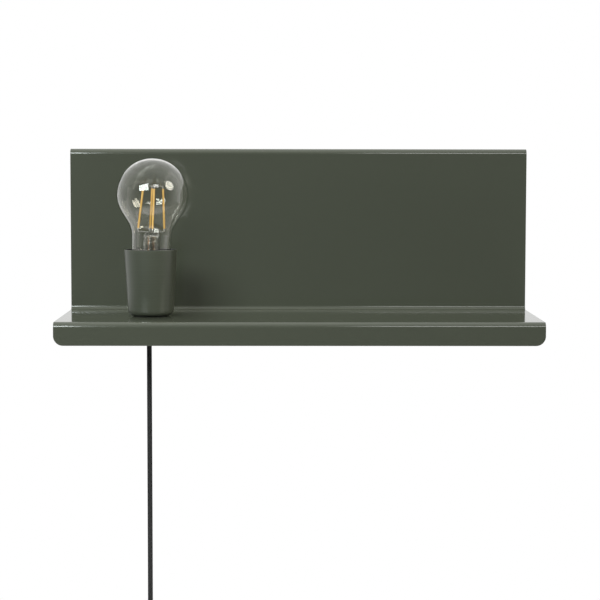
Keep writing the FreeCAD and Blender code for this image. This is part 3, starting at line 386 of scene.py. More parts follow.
def fill_dust(w: Wiring, given: Given) -> Fed:
    """A thin veil on faces that look up, in soft patches.

    Args:
        w: The group's wiring.
        given: Its inputs by name.

    Returns:
        What feeds its outputs, by name.
    """
    normal = w.add("ShaderNodeNewGeometry").outputs["Normal"]
    facing = w.span(w.split(normal)[2], 0.6, 1.0, 0.0, 1.0)
    patches = w.span(w.noise(given["Vector"], DUST_PATCHES, 5.0), 0.38, 0.72, 0.15, 1.0)
    mask = w.math("MULTIPLY", w.math("MULTIPLY", facing, patches), given["Amount"])
    return {
        "Colour": w.blend(mask, given["Colour"], DUST_GREY),
        "Roughness": w.math("MULTIPLY_ADD", mask, DUST_ROUGHNESS, given["Roughness"]),
    }


def fill_grain(w: Wiring, given: Given) -> Fed:
    """Fine even bumps, as of spark-eroded plastic or sprayed powder.

    Args:
        w: The group's wiring.
        given: Its inputs by name.

    Returns:
        What feeds its outputs, by name.
    """
    small = w.noise(given["Vector"], given["Scale"])
    wide = w.noise(given["Vector"], w.math("MULTIPLY", given["Scale"], 0.2), 1.0)
    return {"Height": w.math("MULTIPLY_ADD", wide, 0.5, w.math("MULTIPLY", small, 0.5))}


def fill_rings(w: Wiring, given: Given) -> Fed:
    """Uneven level rings, as a spinning tool leaves them.

    Args:
        w: The group's wiring.
        given: Its inputs by name.

    Returns:
        What feeds its outputs, by name.
    """
    fine = w.add("ShaderNodeTexNoise", noise_dimensions="1D")
    for name, value in (("W", w.split(given["Vector"])[2]), ("Scale", given["Scale"]), ("Detail", 3.0)):
        w.feed(fine.inputs[name], value)
    return {"Height": fine.outputs[0], "Shade": w.span(fine.outputs[0], 0.3, 0.7, 0.97, 1.03)}


def fill_drawn(w: Wiring, given: Given) -> Fed:
    """Fine lines along X, as of rolled or brushed sheet.

    Args:
        w: The group's wiring.
        given: Its inputs by name.

    Returns:
        What feeds its outputs, by name.
    """
    lines = w.noise(w.vector("MULTIPLY", given["Vector"], ALONG_X), given["Scale"], 3.0)
    return {"Height": lines, "Shade": w.span(lines, 0.3, 0.7, 0.9, 1.08)}


def fill_helix(w: Wiring, given: Given) -> Fed:
    """A screw thread round the Z axis.

    Args:
        w: The group's wiring.
        given: Its inputs by name.

    Returns:
        What feeds its outputs, by name.
    """
    x, y, z = w.split(given["Vector"])[:3]
    turn = w.math("DIVIDE", w.math("ARCTAN2", y, x), 2 * math.pi)
    along = w.math("SUBTRACT", w.math("DIVIDE", z, given["Pitch"]), turn)
    return {"Height": w.math("MULTIPLY", w.math("PINGPONG", along, 0.5), 2.0)}


def fill_parting(w: Wiring, given: Given) -> Fed:
    """The thin line where two halves of a moulding meet, at a place along Y.

    Args:
        w: The group's wiring.
        given: Its inputs by name.

    Returns:
        What feeds its outputs, by name.
    """
    off = w.math("ABSOLUTE", w.math("SUBTRACT", w.split(given["Vector"])[1], given["Place"]))
    return {"Mask": w.span(off, *SEAM_BAND, 1.0, 0.0)}


def fill_braid(w: Wiring, given: Given) -> Fed:
    """Two crossing families of yarn, from U along the cord in metres and V round it from 0 to 1, darkened in the
    hollows between the yarns and lightened on their crowns as painted shade and painted highlight.

    Args:
        w: The group's wiring.
        given: Its inputs by name.

    Returns:
        What feeds its outputs, by name.
    """
    along, around = w.split(given["UV"])[:2]
    cells = w.math("DIVIDE", along, given["Yarn"])
    turns = w.math("MULTIPLY", around, given["Yarns Round"])
    ways = w.math("ADD", cells, turns), w.math("SUBTRACT", cells, turns)
    humps = [w.math("SINE", w.math("MULTIPLY", w.math("FRACT", way), math.pi)) for way in ways]
    parity = w.math("ADD", w.math("FLOOR", ways[0]), w.math("FLOOR", ways[1]))
    over = w.math("FLOORED_MODULO", parity, 2.0)
    shares = w.math("SUBTRACT", 1.0, over), over
    crowns = [
        w.math("MULTIPLY", w.math("MULTIPLY", hump, w.math("MULTIPLY_ADD", other, YARN_SAG, 1.0 - YARN_SAG)), share)
        for hump, other, share in zip(humps, reversed(humps), shares)
    ]
    height = w.math("ADD", *crowns)
    fuzz = w.noise(w.vector("MULTIPLY", given["UV"], ALONG_YARN), BRAID_FUZZ, 3.0)
    return {
        "Height": w.math("MULTIPLY_ADD", fuzz, YARN_FUZZ, height),
        # painted shade and painted highlight: the colour is darker where the yarns dip and lighter on their crowns
        "Shade": w.span(w.math("MULTIPLY_ADD", fuzz, 2 * YARN_FUZZ, height), 0.25, 1.2, 0.45, 1.25),
    }


VECTOR, TINT = ("Vector", "Vector", None), ("Colour", "Color", None)
COLOUR, ROUGHNESS, HEIGHT, SHADE = (
    ("Colour", "Color"), ("Roughness", "Float"), ("Height", "Float"), ("Shade", "Float"),
)
MOTTLE = Pattern(
    "surface_mottle",
    (VECTOR, TINT, ("Scale", "Float", 20.0), ("Amount", "Float", 0.1), ("Roughness", "Float", 0.5),
     ("Gloss Spread", "Float", 0.1)),
    (COLOUR, ROUGHNESS), fill_mottle,
)
EDGES = Pattern(
    "edge_wear",
    (VECTOR, TINT, ("Worn Colour", "Color", None), ("Width", "Float", 0.0006), ("Amount", "Float", 0.5)),
    (COLOUR,), fill_edges,
)
DUST = Pattern(
    "settled_dust", (VECTOR, TINT, ("Roughness", "Float", 0.5), ("Amount", "Float", 0.03)),
    (COLOUR, ROUGHNESS), fill_dust,
)
GRAIN = Pattern("fine_grain", (VECTOR, ("Scale", "Float", 900.0)), (HEIGHT,), fill_grain)
RINGS = Pattern("spun_rings", (VECTOR, ("Scale", "Float", 700.0)), (HEIGHT, SHADE), fill_rings)
DRAWN = Pattern("drawn_lines", (VECTOR, ("Scale", "Float", 1500.0)), (HEIGHT, SHADE), fill_drawn)
HELIX = Pattern("screw_thread", (VECTOR, ("Pitch", "Float", 0.001)), (HEIGHT,), fill_helix)
PARTING = Pattern("parting_line", (VECTOR, ("Place", "Float", 0.0)), (("Mask", "Float"),), fill_parting)
BRAID = Pattern(
    "cord_braid", (("UV", "Vector", None), ("Yarn", "Float", 0.001), ("Yarns Round", "Float", 16.0)),
    (HEIGHT, SHADE), fill_braid,
)


# ---- finishes -------------------------------------------------------------------------------------------


@dataclass(frozen=True)
class Finish:
    """A surface finish and the record's slot that it belongs to.

    Pattern scales are waves per metre, but a thread's relief_scale is its pitch in metres. Relief depths and the
    centre are metres. Places and steps along a piece, such as its parting line, are millimetres.
    """

    slot: str
    colour: Colour
    roughness: float
    gloss_spread: float = 0.12
    mottle: float = 0.12
    mottle_scale: float = 22.0
    metallic: float = 0.0
    ior: float = 1.5
    specular: float = 0.5
    wear: float = 0.0
    worn_colour: Colour = (0.3, 0.3, 0.3)
    dust: float = 0.0
    relief: Relief = Relief.PLAIN
    relief_scale: float = 900.0
    relief_depth: float = 0.00002
    centre: Point = (0.0, 0.0, 0.0)
    parting: float | None = None

    def material(self) -> bpy.types.Material:
        """Returns the finish's material, which is made on first use."""
        name = f"{self.slot}_finish"
        found = bpy.data.materials.get(name)
        if found is not None:
            return found
        material = bpy.data.materials.new(name)
        w = Wiring(blank_tree(material), self.centre)
        shader = w.add("ShaderNodeBsdfPrincipled")
        self.dress(w, shader)
        w.feed_all(w.add("ShaderNodeOutputMaterial"), self.surface(w, shader.outputs["BSDF"]))
        return material

    def surface(self, w: Wiring, solid: Socket) -> Socket:
        """The socket that the material shows, given its shader's."""
        return solid

    def dress(self, w: Wiring, shader: Node) -> None:
        """Feeds the shader.

        Args:
            w: The material's wiring.
            shader: Its Principled shader.
        """
        for name, value in (("Metallic", self.metallic), ("IOR", self.ior), ("Specular IOR Level", self.specular)):
            shader.inputs[name].default_value = value
        colour, roughness = self.tone(w)
        height, shade = self.texture(w)
        if shade is not None:
            colour = w.vector("SCALE", colour, shade)
        if self.wear > 0:
            worn = w.group(EDGES, Vector=w.place, Colour=colour, Worn_Colour=self.worn_colour, Amount=self.wear)
            colour = worn["Colour"]
        if self.dust > 0:
            veil = w.group(DUST, Vector=w.place, Colour=colour, Roughness=roughness, Amount=self.dust)
            colour, roughness = veil["Colour"], veil["Roughness"]
        if self.parting is not None:
            seam = w.group(PARTING, Vector=w.place, Place=self.parting * MM)["Mask"]
            colour = w.blend(seam, colour, [value * SEAM_SHADE for value in self.colour])
            height = w.math("SUBTRACT", height, w.math("MULTIPLY", seam, SEAM_DEPTH))
        w.feed(shader.inputs["Base Color"], colour)
        w.feed(shader.inputs["Roughness"], roughness)
        if height is not None:
            w.feed(shader.inputs["Normal"], w.bump(height, self.relief_depth))

    def tone(self, w: Wiring) -> tuple[Socket, Socket]:
        """The varied colour and roughness.

        Args:
            w: The material's wiring.

        Returns:
            The colour's and the roughness's sockets.
        """
        mottled = w.group(
            MOTTLE, Vector=w.place, Colour=self.colour, Scale=self.mottle_scale, Amount=self.mottle,
            Roughness=self.roughness, Gloss_Spread=self.gloss_spread,
        )
        return mottled["Colour"], mottled["Roughness"]

    def texture(self, w: Wiring) -> tuple[Socket | None, Socket | None]:
        """The fine relief.

        Args:
            w: The material's wiring.

        Returns:
            The height's socket, and a shade to multiply the colour with, each None where there is none.
        """
        if self.relief is Relief.PLAIN:
            return None, None
        if self.relief is Relief.GRAIN:
            return w.group(GRAIN, Vector=w.place, Scale=self.relief_scale)["Height"], None
        if self.relief is Relief.THREADED:
            return w.group(HELIX, Vector=w.place, Pitch=self.relief_scale)["Height"], None
        kind = RINGS if self.relief is Relief.SPUN else DRAWN
        lines = w.group(kind, Vector=w.place, Scale=self.relief_scale)
        return lines["Height"], lines["Shade"]


@dataclass(frozen=True)
class ClearGlass(Finish):
    """Thin clear glass, smeared in places, that lets the lamps' light through to what is behind it."""

    smears: float = 60.0
    smear_span: tuple[float, float] = (0.55, 0.8)

    def dress(self, w: Wiring, shader: Node) -> None:
        """Feeds the shader of clear glass.

        Args:
            w: The material's wiring.
            shader: Its Principled shader.
        """
        shader.inputs["Transmission Weight"].default_value = 1.0
        shader.inputs["IOR"].default_value = self.ior
        smear = w.noise(w.place, self.smears, 4.0)
        w.feed(shader.inputs["Base Color"], self.tone(w)[0])
        w.feed(shader.inputs["Roughness"], w.span(smear, *self.smear_span, 0.0, self.roughness))
        w.feed(shader.inputs["Normal"], w.bump(w.noise(w.place, self.relief_scale, 1.0), self.relief_depth))

    def surface(self, w: Wiring, solid: Socket) -> Socket:
        """Clear for rays from lamps and from matt faces, and glass for the rest."""
        path = w.add("ShaderNodeLightPath").outputs
        return w.clear(w.math("MAXIMUM", path["Is Shadow Ray"], path["Is Diffuse Ray"]), solid)


@dataclass(frozen=True)
class PaintedShadeInside(Finish):
    """Paint on a turned cup, with painted shade on its inner face: dark colour that stands in for the shadow inside
    the cup.
    """

    # painted shade: the dark colour of the cup's inner face stands in for the shadow inside it
    inside: Colour = (0.008, 0.009, 0.009)
    turned_in: float = -0.015

    def tone(self, w: Wiring) -> tuple[Socket, Socket]:
        """The outer colour, and painted shade where the surface looks towards the axis.

        Args:
            w: The material's wiring, with the axis at its centre.

        Returns:
            The colour's and the roughness's sockets.
        """
        colour, roughness = super().tone(w)
        outward = w.vector("MULTIPLY", w.place, (1.0, 1.0, 0.0))
        facing = w.vector("DOT_PRODUCT", outward, w.add("ShaderNodeNewGeometry").outputs["Normal"])
        # painted shade on the inner face, where the surface turns towards the axis
        return w.blend(w.span(facing, self.turned_in, 0.0, 1.0, 0.0), colour, self.inside), roughness


@dataclass(frozen=True)
class BraidedTextile(Finish):
    """Braided yarn round a cord, which follows the cord's own map."""

    yarn: float = 1.0
    yarns_round: float = 16.0

    def texture(self, w: Wiring) -> tuple[Socket | None, Socket | None]:
        """The braid's relief, with its painted shade and painted highlight.

        Args:
            w: The material's wiring.

        Returns:
            The height's socket, and the socket of the painted shade and highlight that multiplies the colour.
        """
        own = w.add("ShaderNodeUVMap", uv_map="cord_map").outputs[0]
        braid = w.group(BRAID, UV=own, Yarn=self.yarn * MM, Yarns_Round=self.yarns_round)
        return braid["Height"], braid["Shade"]


@dataclass(frozen=True)
class SleevedMetal(Finish):
    """Plated pins whose upper part wears a thin black sleeve."""

    sleeve: Colour = (0.02, 0.02, 0.02)
    sleeve_foot: float = -690.0
    sleeve_depth: float = 0.0001
    sleeve_roughness: float = 0.2

    def dress(self, w: Wiring, shader: Node) -> None:
        """Feeds the shader of the pins.

        Args:
            w: The material's wiring.
            shader: Its Principled shader.
        """
        colour, roughness = self.tone(w)
        edge = self.sleeve_foot * MM
        sleeve = w.span(w.split(w.place)[2], edge - self.sleeve_depth, edge + self.sleeve_depth, 0.0, 1.0)
        w.feed(shader.inputs["Base Color"], w.blend(sleeve, colour, self.sleeve))
        w.feed(shader.inputs["Roughness"], w.math("MULTIPLY_ADD", sleeve, self.sleeve_roughness, roughness))
        w.feed(shader.inputs["Metallic"], w.math("SUBTRACT", 1.0, sleeve))
        w.feed(shader.inputs["Normal"], w.bump(sleeve, self.sleeve_depth))


@dataclass(frozen=True)
class Phosphor(Finish):
    """The amber coat of the filaments, over a row of pale chips."""

    chip: float = 1.3
    rim: Colour = (0.26, 0.13, 0.02)
    rim_span: tuple[float, float] = (0.12, 0.62)

    def tone(self, w: Wiring) -> tuple[Socket, Socket]:
        """The coat's colour, pale in the middle and brown where it is seen edge on.

        Args:
            w: The material's wiring.

        Returns:
            The colour's and the roughness's sockets.
        """
        colour, roughness = super().tone(w)
        facing = w.add("ShaderNodeLayerWeight").outputs["Facing"]
        return w.blend(w.span(facing, *self.rim_span, 0.0, 1.0), colour, self.rim), roughness

    def texture(self, w: Wiring) -> tuple[Socket | None, Socket | None]:
        """Soft bands along the filament.

        Args:
            w: The material's wiring.

        Returns:
            The height's and the shade's sockets.
        """
        wave = w.math("PINGPONG", w.math("DIVIDE", w.split(w.place)[2], self.chip * MM), 0.5)
        return wave, w.span(wave, 0.1, 0.4, 0.82, 1.12)


BRACKET_ZINC = Finish(
    "bracket_zinc", (0.56, 0.57, 0.58), 0.34, mottle=0.10, mottle_scale=30.0, metallic=1.0, wear=0.25,
    worn_colour=(0.75, 0.75, 0.75), relief=Relief.DRAWN, relief_scale=2600.0, relief_depth=0.000012,
)
GREEN_PAINT = Finish(
    "green_paint", (0.059, 0.066, 0.048), 0.10, gloss_spread=0.03, mottle=0.035, mottle_scale=9.0, ior=1.6,
    wear=0.10, worn_colour=(0.10, 0.11, 0.09), dust=0.012, relief=Relief.GRAIN, relief_scale=500.0,
    relief_depth=0.000004,
)
CUP_PAINT = PaintedShadeInside(
    "cup_paint", (0.0625, 0.070, 0.051), 0.32, gloss_spread=0.05, mottle=0.04, mottle_scale=14.0, wear=0.10,
    worn_colour=(0.12, 0.13, 0.11), relief=Relief.SPUN, relief_scale=620.0, relief_depth=0.000012, centre=CUP_AXIS,
)
BUMPER_RUBBER = Finish(
    "bumper_rubber", (0.022, 0.022, 0.022), 0.72, mottle=0.25, mottle_scale=120.0, relief=Relief.GRAIN,
    relief_scale=1600.0, relief_depth=0.00003,
)
HOLDER_PLASTIC = Finish(
    "holder_plastic", (0.016, 0.016, 0.016), 0.46, mottle=0.2, mottle_scale=60.0, wear=0.2,
    worn_colour=(0.05, 0.05, 0.05), relief=Relief.GRAIN, relief_scale=1900.0, relief_depth=0.000018,
)
HOLDER_CERAMIC = Finish("holder_ceramic", (0.78, 0.77, 0.72), 0.25, mottle=0.06, mottle_scale=80.0)
CONTACT_BRASS = Finish(
    "contact_brass", (0.72, 0.52, 0.22), 0.3, mottle=0.16, mottle_scale=160.0, metallic=1.0, wear=0.2,
    worn_colour=(0.9, 0.72, 0.4),
)
WIRE_SLEEVE = Finish("wire_sleeve", (0.05, 0.11, 0.32), 0.4, mottle=0.1, mottle_scale=200.0)
ZINC_FITTINGS = Finish(
    "zinc_fittings", (0.58, 0.58, 0.56), 0.32, mottle=0.16, mottle_scale=140.0, metallic=1.0, wear=0.3,
    worn_colour=(0.8, 0.8, 0.78), relief=Relief.GRAIN, relief_depth=0.00001,
)
NIPPLE_ZINC = Finish(
    "nipple_zinc", (0.60, 0.57, 0.50), 0.3, mottle_scale=140.0, metallic=1.0, relief=Relief.THREADED,
    relief_scale=0.001, relief_depth=0.0003, centre=CUP_AXIS,
)
CLEAR_GLASS = ClearGlass(
    "clear_glass", (0.985, 0.978, 0.945), 0.04, mottle=0.008, mottle_scale=30.0, ior=1.47, relief_scale=35.0,
    relief_depth=0.00004,
)
PRESSED_GLASS = ClearGlass(
    "pressed_glass", (0.93, 0.93, 0.90), 0.05, mottle=0.05, mottle_scale=300.0, relief_scale=350.0,
    relief_depth=0.0008,
)
CAP_NICKEL = Finish(
    "cap_nickel", (0.66, 0.64, 0.60), 0.24, mottle_scale=120.0, metallic=1.0, wear=0.3,
    worn_colour=(0.85, 0.83, 0.8),
)
CAP_BLACK_GLASS = Finish("cap_black_glass", (0.012, 0.012, 0.016), 0.1, mottle=0.2, mottle_scale=200.0)
DRIVER_BOARD = Finish("driver_board", (0.03, 0.11, 0.05), 0.4, mottle=0.4, mottle_scale=400.0)
FILAMENT_PHOSPHOR = Phosphor("filament_phosphor", (0.74, 0.45, 0.12), 0.42, mottle=0.1, mottle_scale=300.0)
BULB_WIRE = Finish("bulb_wire", (0.72, 0.72, 0.70), 0.22, mottle=0.1, mottle_scale=300.0, metallic=1.0)
LEAD_COPPER = Finish("lead_copper", (0.55, 0.27, 0.12), 0.3, mottle=0.15, mottle_scale=300.0, metallic=1.0)
TEXTILE_CORD = BraidedTextile(
    "textile_cord", (0.038, 0.038, 0.038), 0.85, mottle_scale=40.0, specular=0.15, relief_depth=0.00022
)
HELD_CORD = Finish(
    "held_cord", (0.035, 0.035, 0.035), 0.82, mottle=0.2, mottle_scale=300.0, relief=Relief.GRAIN,
    relief_scale=1500.0, relief_depth=0.0002,
)
SWITCH_PLASTIC = Finish(
    "switch_plastic", (0.018, 0.018, 0.018), 0.44, mottle=0.2, mottle_scale=50.0, wear=0.25,
    worn_colour=(0.06, 0.06, 0.06), relief=Relief.GRAIN, relief_scale=1700.0, parting=-100.0,
)
ROCKER_PLASTIC = Finish(
    "rocker_plastic", (0.014, 0.014, 0.014), 0.2, mottle=0.15, mottle_scale=60.0, wear=0.2,
    worn_colour=(0.05, 0.05, 0.05),
)
TIE_STRAP = Finish(
    "tie_strap", (0.02, 0.02, 0.02), 0.85, mottle=0.3, mottle_scale=350.0, relief=Relief.GRAIN,
    relief_scale=2600.0, relief_depth=0.00018,
)
PLUG_PLASTIC = Finish(
    "plug_plastic", (0.017, 0.017, 0.017), 0.42, mottle=0.18, mottle_scale=50.0, wear=0.22,
    worn_colour=(0.06, 0.06, 0.06), relief=Relief.GRAIN, relief_scale=1700.0, parting=-85.1,
)
PIN_NICKEL = SleevedMetal("pin_nickel", (0.72, 0.70, 0.66), 0.18, mottle=0.08, mottle_scale=200.0)


# ---- mesh making ----------------------------------------------------------------------------------------


@dataclass(frozen=True)
class Corner:
    """A corner of a drawn line: two sizes in its plane and the radius that rounds it."""

    across: float
    up: float
    rounding: float = 0.0


class Plane(Enum):
    """The plane that a line is drawn in."""

    TURNING = "XZ"
    SIDE = "YZ"

    def point(self, corner: Corner) -> Vector:
        """Puts a corner in space.

        Args:
            corner: The corner.

        Returns:
            Its point.
        """
        if self is Plane.TURNING:
            return Vector((corner.across, 0.0, corner.up))
        return Vector((0.0, corner.across, corner.up))


def draw_line(mesh: Mesh, corners: Sequence[Corner], plane: Plane, closed: bool, step: float) -> None:
    """Draws a line through corners, with true arcs where they are rounded.

    Args:
        mesh: Where the line goes.
        corners: The corners in order.
        plane: The plane they lie in.
        closed: True if the last corner runs back to the first.
        step: The most degrees that one edge of an arc turns.
    """
    points = [plane.point(corner) for corner in corners]
    line: list[Vert] = []
    for i, corner in enumerate(corners):
        if corner.rounding > 0:
            after = points[(i + 1) % len(points)]
            line += turn_corner(mesh, points[i - 1], points[i], after, corner.rounding, step)
        else:
            line.append(mesh.verts.new(points[i]))
    for first, second in zip(line, line[1:]):
        if not any(second in edge.verts for edge in first.link_edges):
            mesh.edges.new((first, second))
    if closed:
        mesh.edges.new((line[-1], line[0]))


def turn_corner(
    mesh: Mesh, before: Vector, corner: Vector, after: Vector, radius: float, step: float
) -> list[Vert]:
    """Draws the arc that rounds one corner.

    Args:
        mesh: Where the arc goes.
        before: The point before the corner.
        corner: The corner.
        after: The point after the corner.
        radius: The arc's radius.
        step: The most degrees that one edge turns.

    Returns:
        The arc's vertices in order.
    """
    towards, away = (before - corner).normalized(), (after - corner).normalized()
    half = towards.angle(away) / 2
    bend = math.pi - 2 * half
    centre = corner + (towards + away).normalized() * (radius / math.sin(half))
    steps = max(2, math.ceil(math.degrees(bend) / step))
    arc = [mesh.verts.new(corner + towards * (radius / math.tan(half)))]
    axis = (-towards).cross(away).normalized()
    for _ in range(steps):
        made = bmesh.ops.extrude_vert_indiv(mesh, verts=[arc[-1]])["verts"]
        bmesh.ops.rotate(mesh, verts=made, cent=centre, matrix=Matrix.Rotation(bend / steps, 3, axis))
        arc += made
    return arc


def lathe(corners: Sequence[Corner], around: int, closed: bool = True, step: float = 6.0) -> Mesh:
    """Turns a profile about the Z axis.

    Args:
        corners: The profile, with the radius across and the height up.
        around: How many faces go round.
        closed: True if the profile runs back to its start.
        step: The most degrees that one edge of a rounded corner turns.

    Returns:
        The turned mesh.
    """
    mesh = bmesh.new()
    draw_line(mesh, corners, Plane.TURNING, closed, step)
    bmesh.ops.spin(
        mesh, geom=mesh.verts[:] + mesh.edges[:], cent=(0, 0, 0), axis=(0, 0, 1), angle=2 * math.pi,
        steps=around, use_merge=True,
    )
    bmesh.ops.remove_doubles(mesh, verts=mesh.verts[:], dist=WELD)
    bmesh.ops.recalc_face_normals(mesh, faces=mesh.faces[:])
    return mesh


def move(mesh: Mesh, x: float, y: float, z: float) -> Mesh:
    """Moves a whole mesh, and returns it."""
    bmesh.ops.translate(mesh, vec=(x, y, z), verts=mesh.verts[:])
    return mesh


def turn(mesh: Mesh, degrees: float, axis: str, height: float = 0.0) -> Mesh:
    """Turns a whole mesh.

    Args:
        mesh: The mesh.
        degrees: How far it turns.
        axis: X or Y.
        height: Where the axis lies above the origin.

    Returns:
        The same mesh.
    """
    matrix = Matrix.Rotation(math.radians(degrees), 3, axis)
    bmesh.ops.rotate(mesh, verts=mesh.verts[:], cent=(0, 0, height), matrix=matrix)
    return mesh


def raise_faces(mesh: Mesh, faces: Sequence[Face], way: Point) -> None:
    """Grows flat faces into a closed solid.

    Args:
        mesh: The mesh that holds them.
        faces: The faces.
        way: How far and which way they grow.
    """
    grown = bmesh.ops.extrude_face_region(mesh, geom=faces)["geom"]
    bmesh.ops.translate(mesh, vec=way, verts=[item for item in grown if isinstance(item, Vert)])
    bmesh.ops.recalc_face_normals(mesh, faces=mesh.faces[:])


def settle(mesh: Mesh, name: str) -> bpy.types.Mesh:
    """Stores a working mesh.

    Args:
        mesh: The mesh, which is used up.
        name: The stored mesh's name.

    Returns:
        The stored mesh.
    """
    data = bpy.data.meshes.new(name)
    mesh.to_mesh(data)
    mesh.free()
    return data


def merge(mesh: Mesh, *others: Mesh) -> Mesh:
    """Adds meshes to a mesh.

    Args:
        mesh: The mesh that grows.
        others: The meshes that go into it, which are used up.

    Returns:
        The grown mesh.
    """
    for other in others:
        held = settle(other, "held")
        mesh.from_mesh(held)
        bpy.data.meshes.remove(held)
    return mesh


def sharp_edges(edges: Iterable[Edge], degrees: float) -> list[Edge]:
    """The edges whose two faces meet at more than an angle."""
    limit = math.radians(degrees)
    return [edge for edge in edges if len(edge.link_faces) == 2 and edge.calc_face_angle() > limit]


def soften(
    mesh: Mesh, geom: Sequence[Edge | Vert], width: float, segments: int = 3, affect: str = "EDGES"
) -> Sequence[Vert]:
    """Rounds edges or corners.

    Args:
        mesh: The mesh.
        geom: Its edges or corner points to round.
        width: How far the rounding reaches on each side.
        segments: How many steps the rounding has.
        affect: EDGES or VERTICES.

    Returns:
        The rounding's points.
    """
    return bmesh.ops.bevel(
        mesh, geom=geom, offset=width, offset_type="OFFSET", segments=segments, profile=0.5, affect=affect,
        clamp_overlap=True, material=-1,
    )["verts"]


def put_in_scene(name: str, data: bpy.types.ID) -> bpy.types.Object:
    """Makes an object in the scene.

    Args:
        name: The object's name.
        data: Its mesh, curve, camera or light.

    Returns:
        The object.
    """
    made = bpy.data.objects.new(name, data)
    bpy.context.scene.collection.objects.link(made)
    return made


# ---- sub-assemblies -------------------------------------------------------------------------------------


@dataclass
class SubAssembly:
    """A group of pieces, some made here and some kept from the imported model, whose nodes it holds by name."""

    nodes: Mapping[str, bpy.types.Object]

    def build(self) -> None:
        """Builds and dresses the pieces."""
        raise NotImplementedError

    def keep(self, finish: Finish, *names: str) -> None:
        """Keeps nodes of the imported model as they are, with a finish.

        Args:
            finish: Their finish.
            names: Their node names.
        """
        for name in names:
            for held in self.nodes[name].material_slots:
                held.material = finish.material()
            LOG.info("kept %s with %s", name, finish.slot)

    def piece(
        self, mesh: Mesh, name: str, finish: Finish, body: Body, replaces: Sequence[str] = (), sharp: float = 40.0
    ) -> bpy.types.Object:
        """Makes a finished piece of a mesh in millimetres.

        Args:
            mesh: The mesh, which is used up.
            name: The piece's name.
            finish: Its finish.
            body: The body that it rides on.
            replaces: The nodes that it stands for.
            sharp: The angle in degrees from which an edge shows as an edge.

        Returns:
            The piece.
        """
        bmesh.ops.scale(mesh, vec=(MM, MM, MM), verts=mesh.verts[:])
        data = settle(mesh, name)
        data.shade_smooth()
        data.set_sharp_from_angle(angle=math.radians(sharp))
        made = put_in_scene(name, data)
        data.materials.append(finish.material())
        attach(made, body.value)
        if replaces:
            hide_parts(*replaces)
        LOG.info("made %s with %d faces", name, len(data.polygons))
        return made


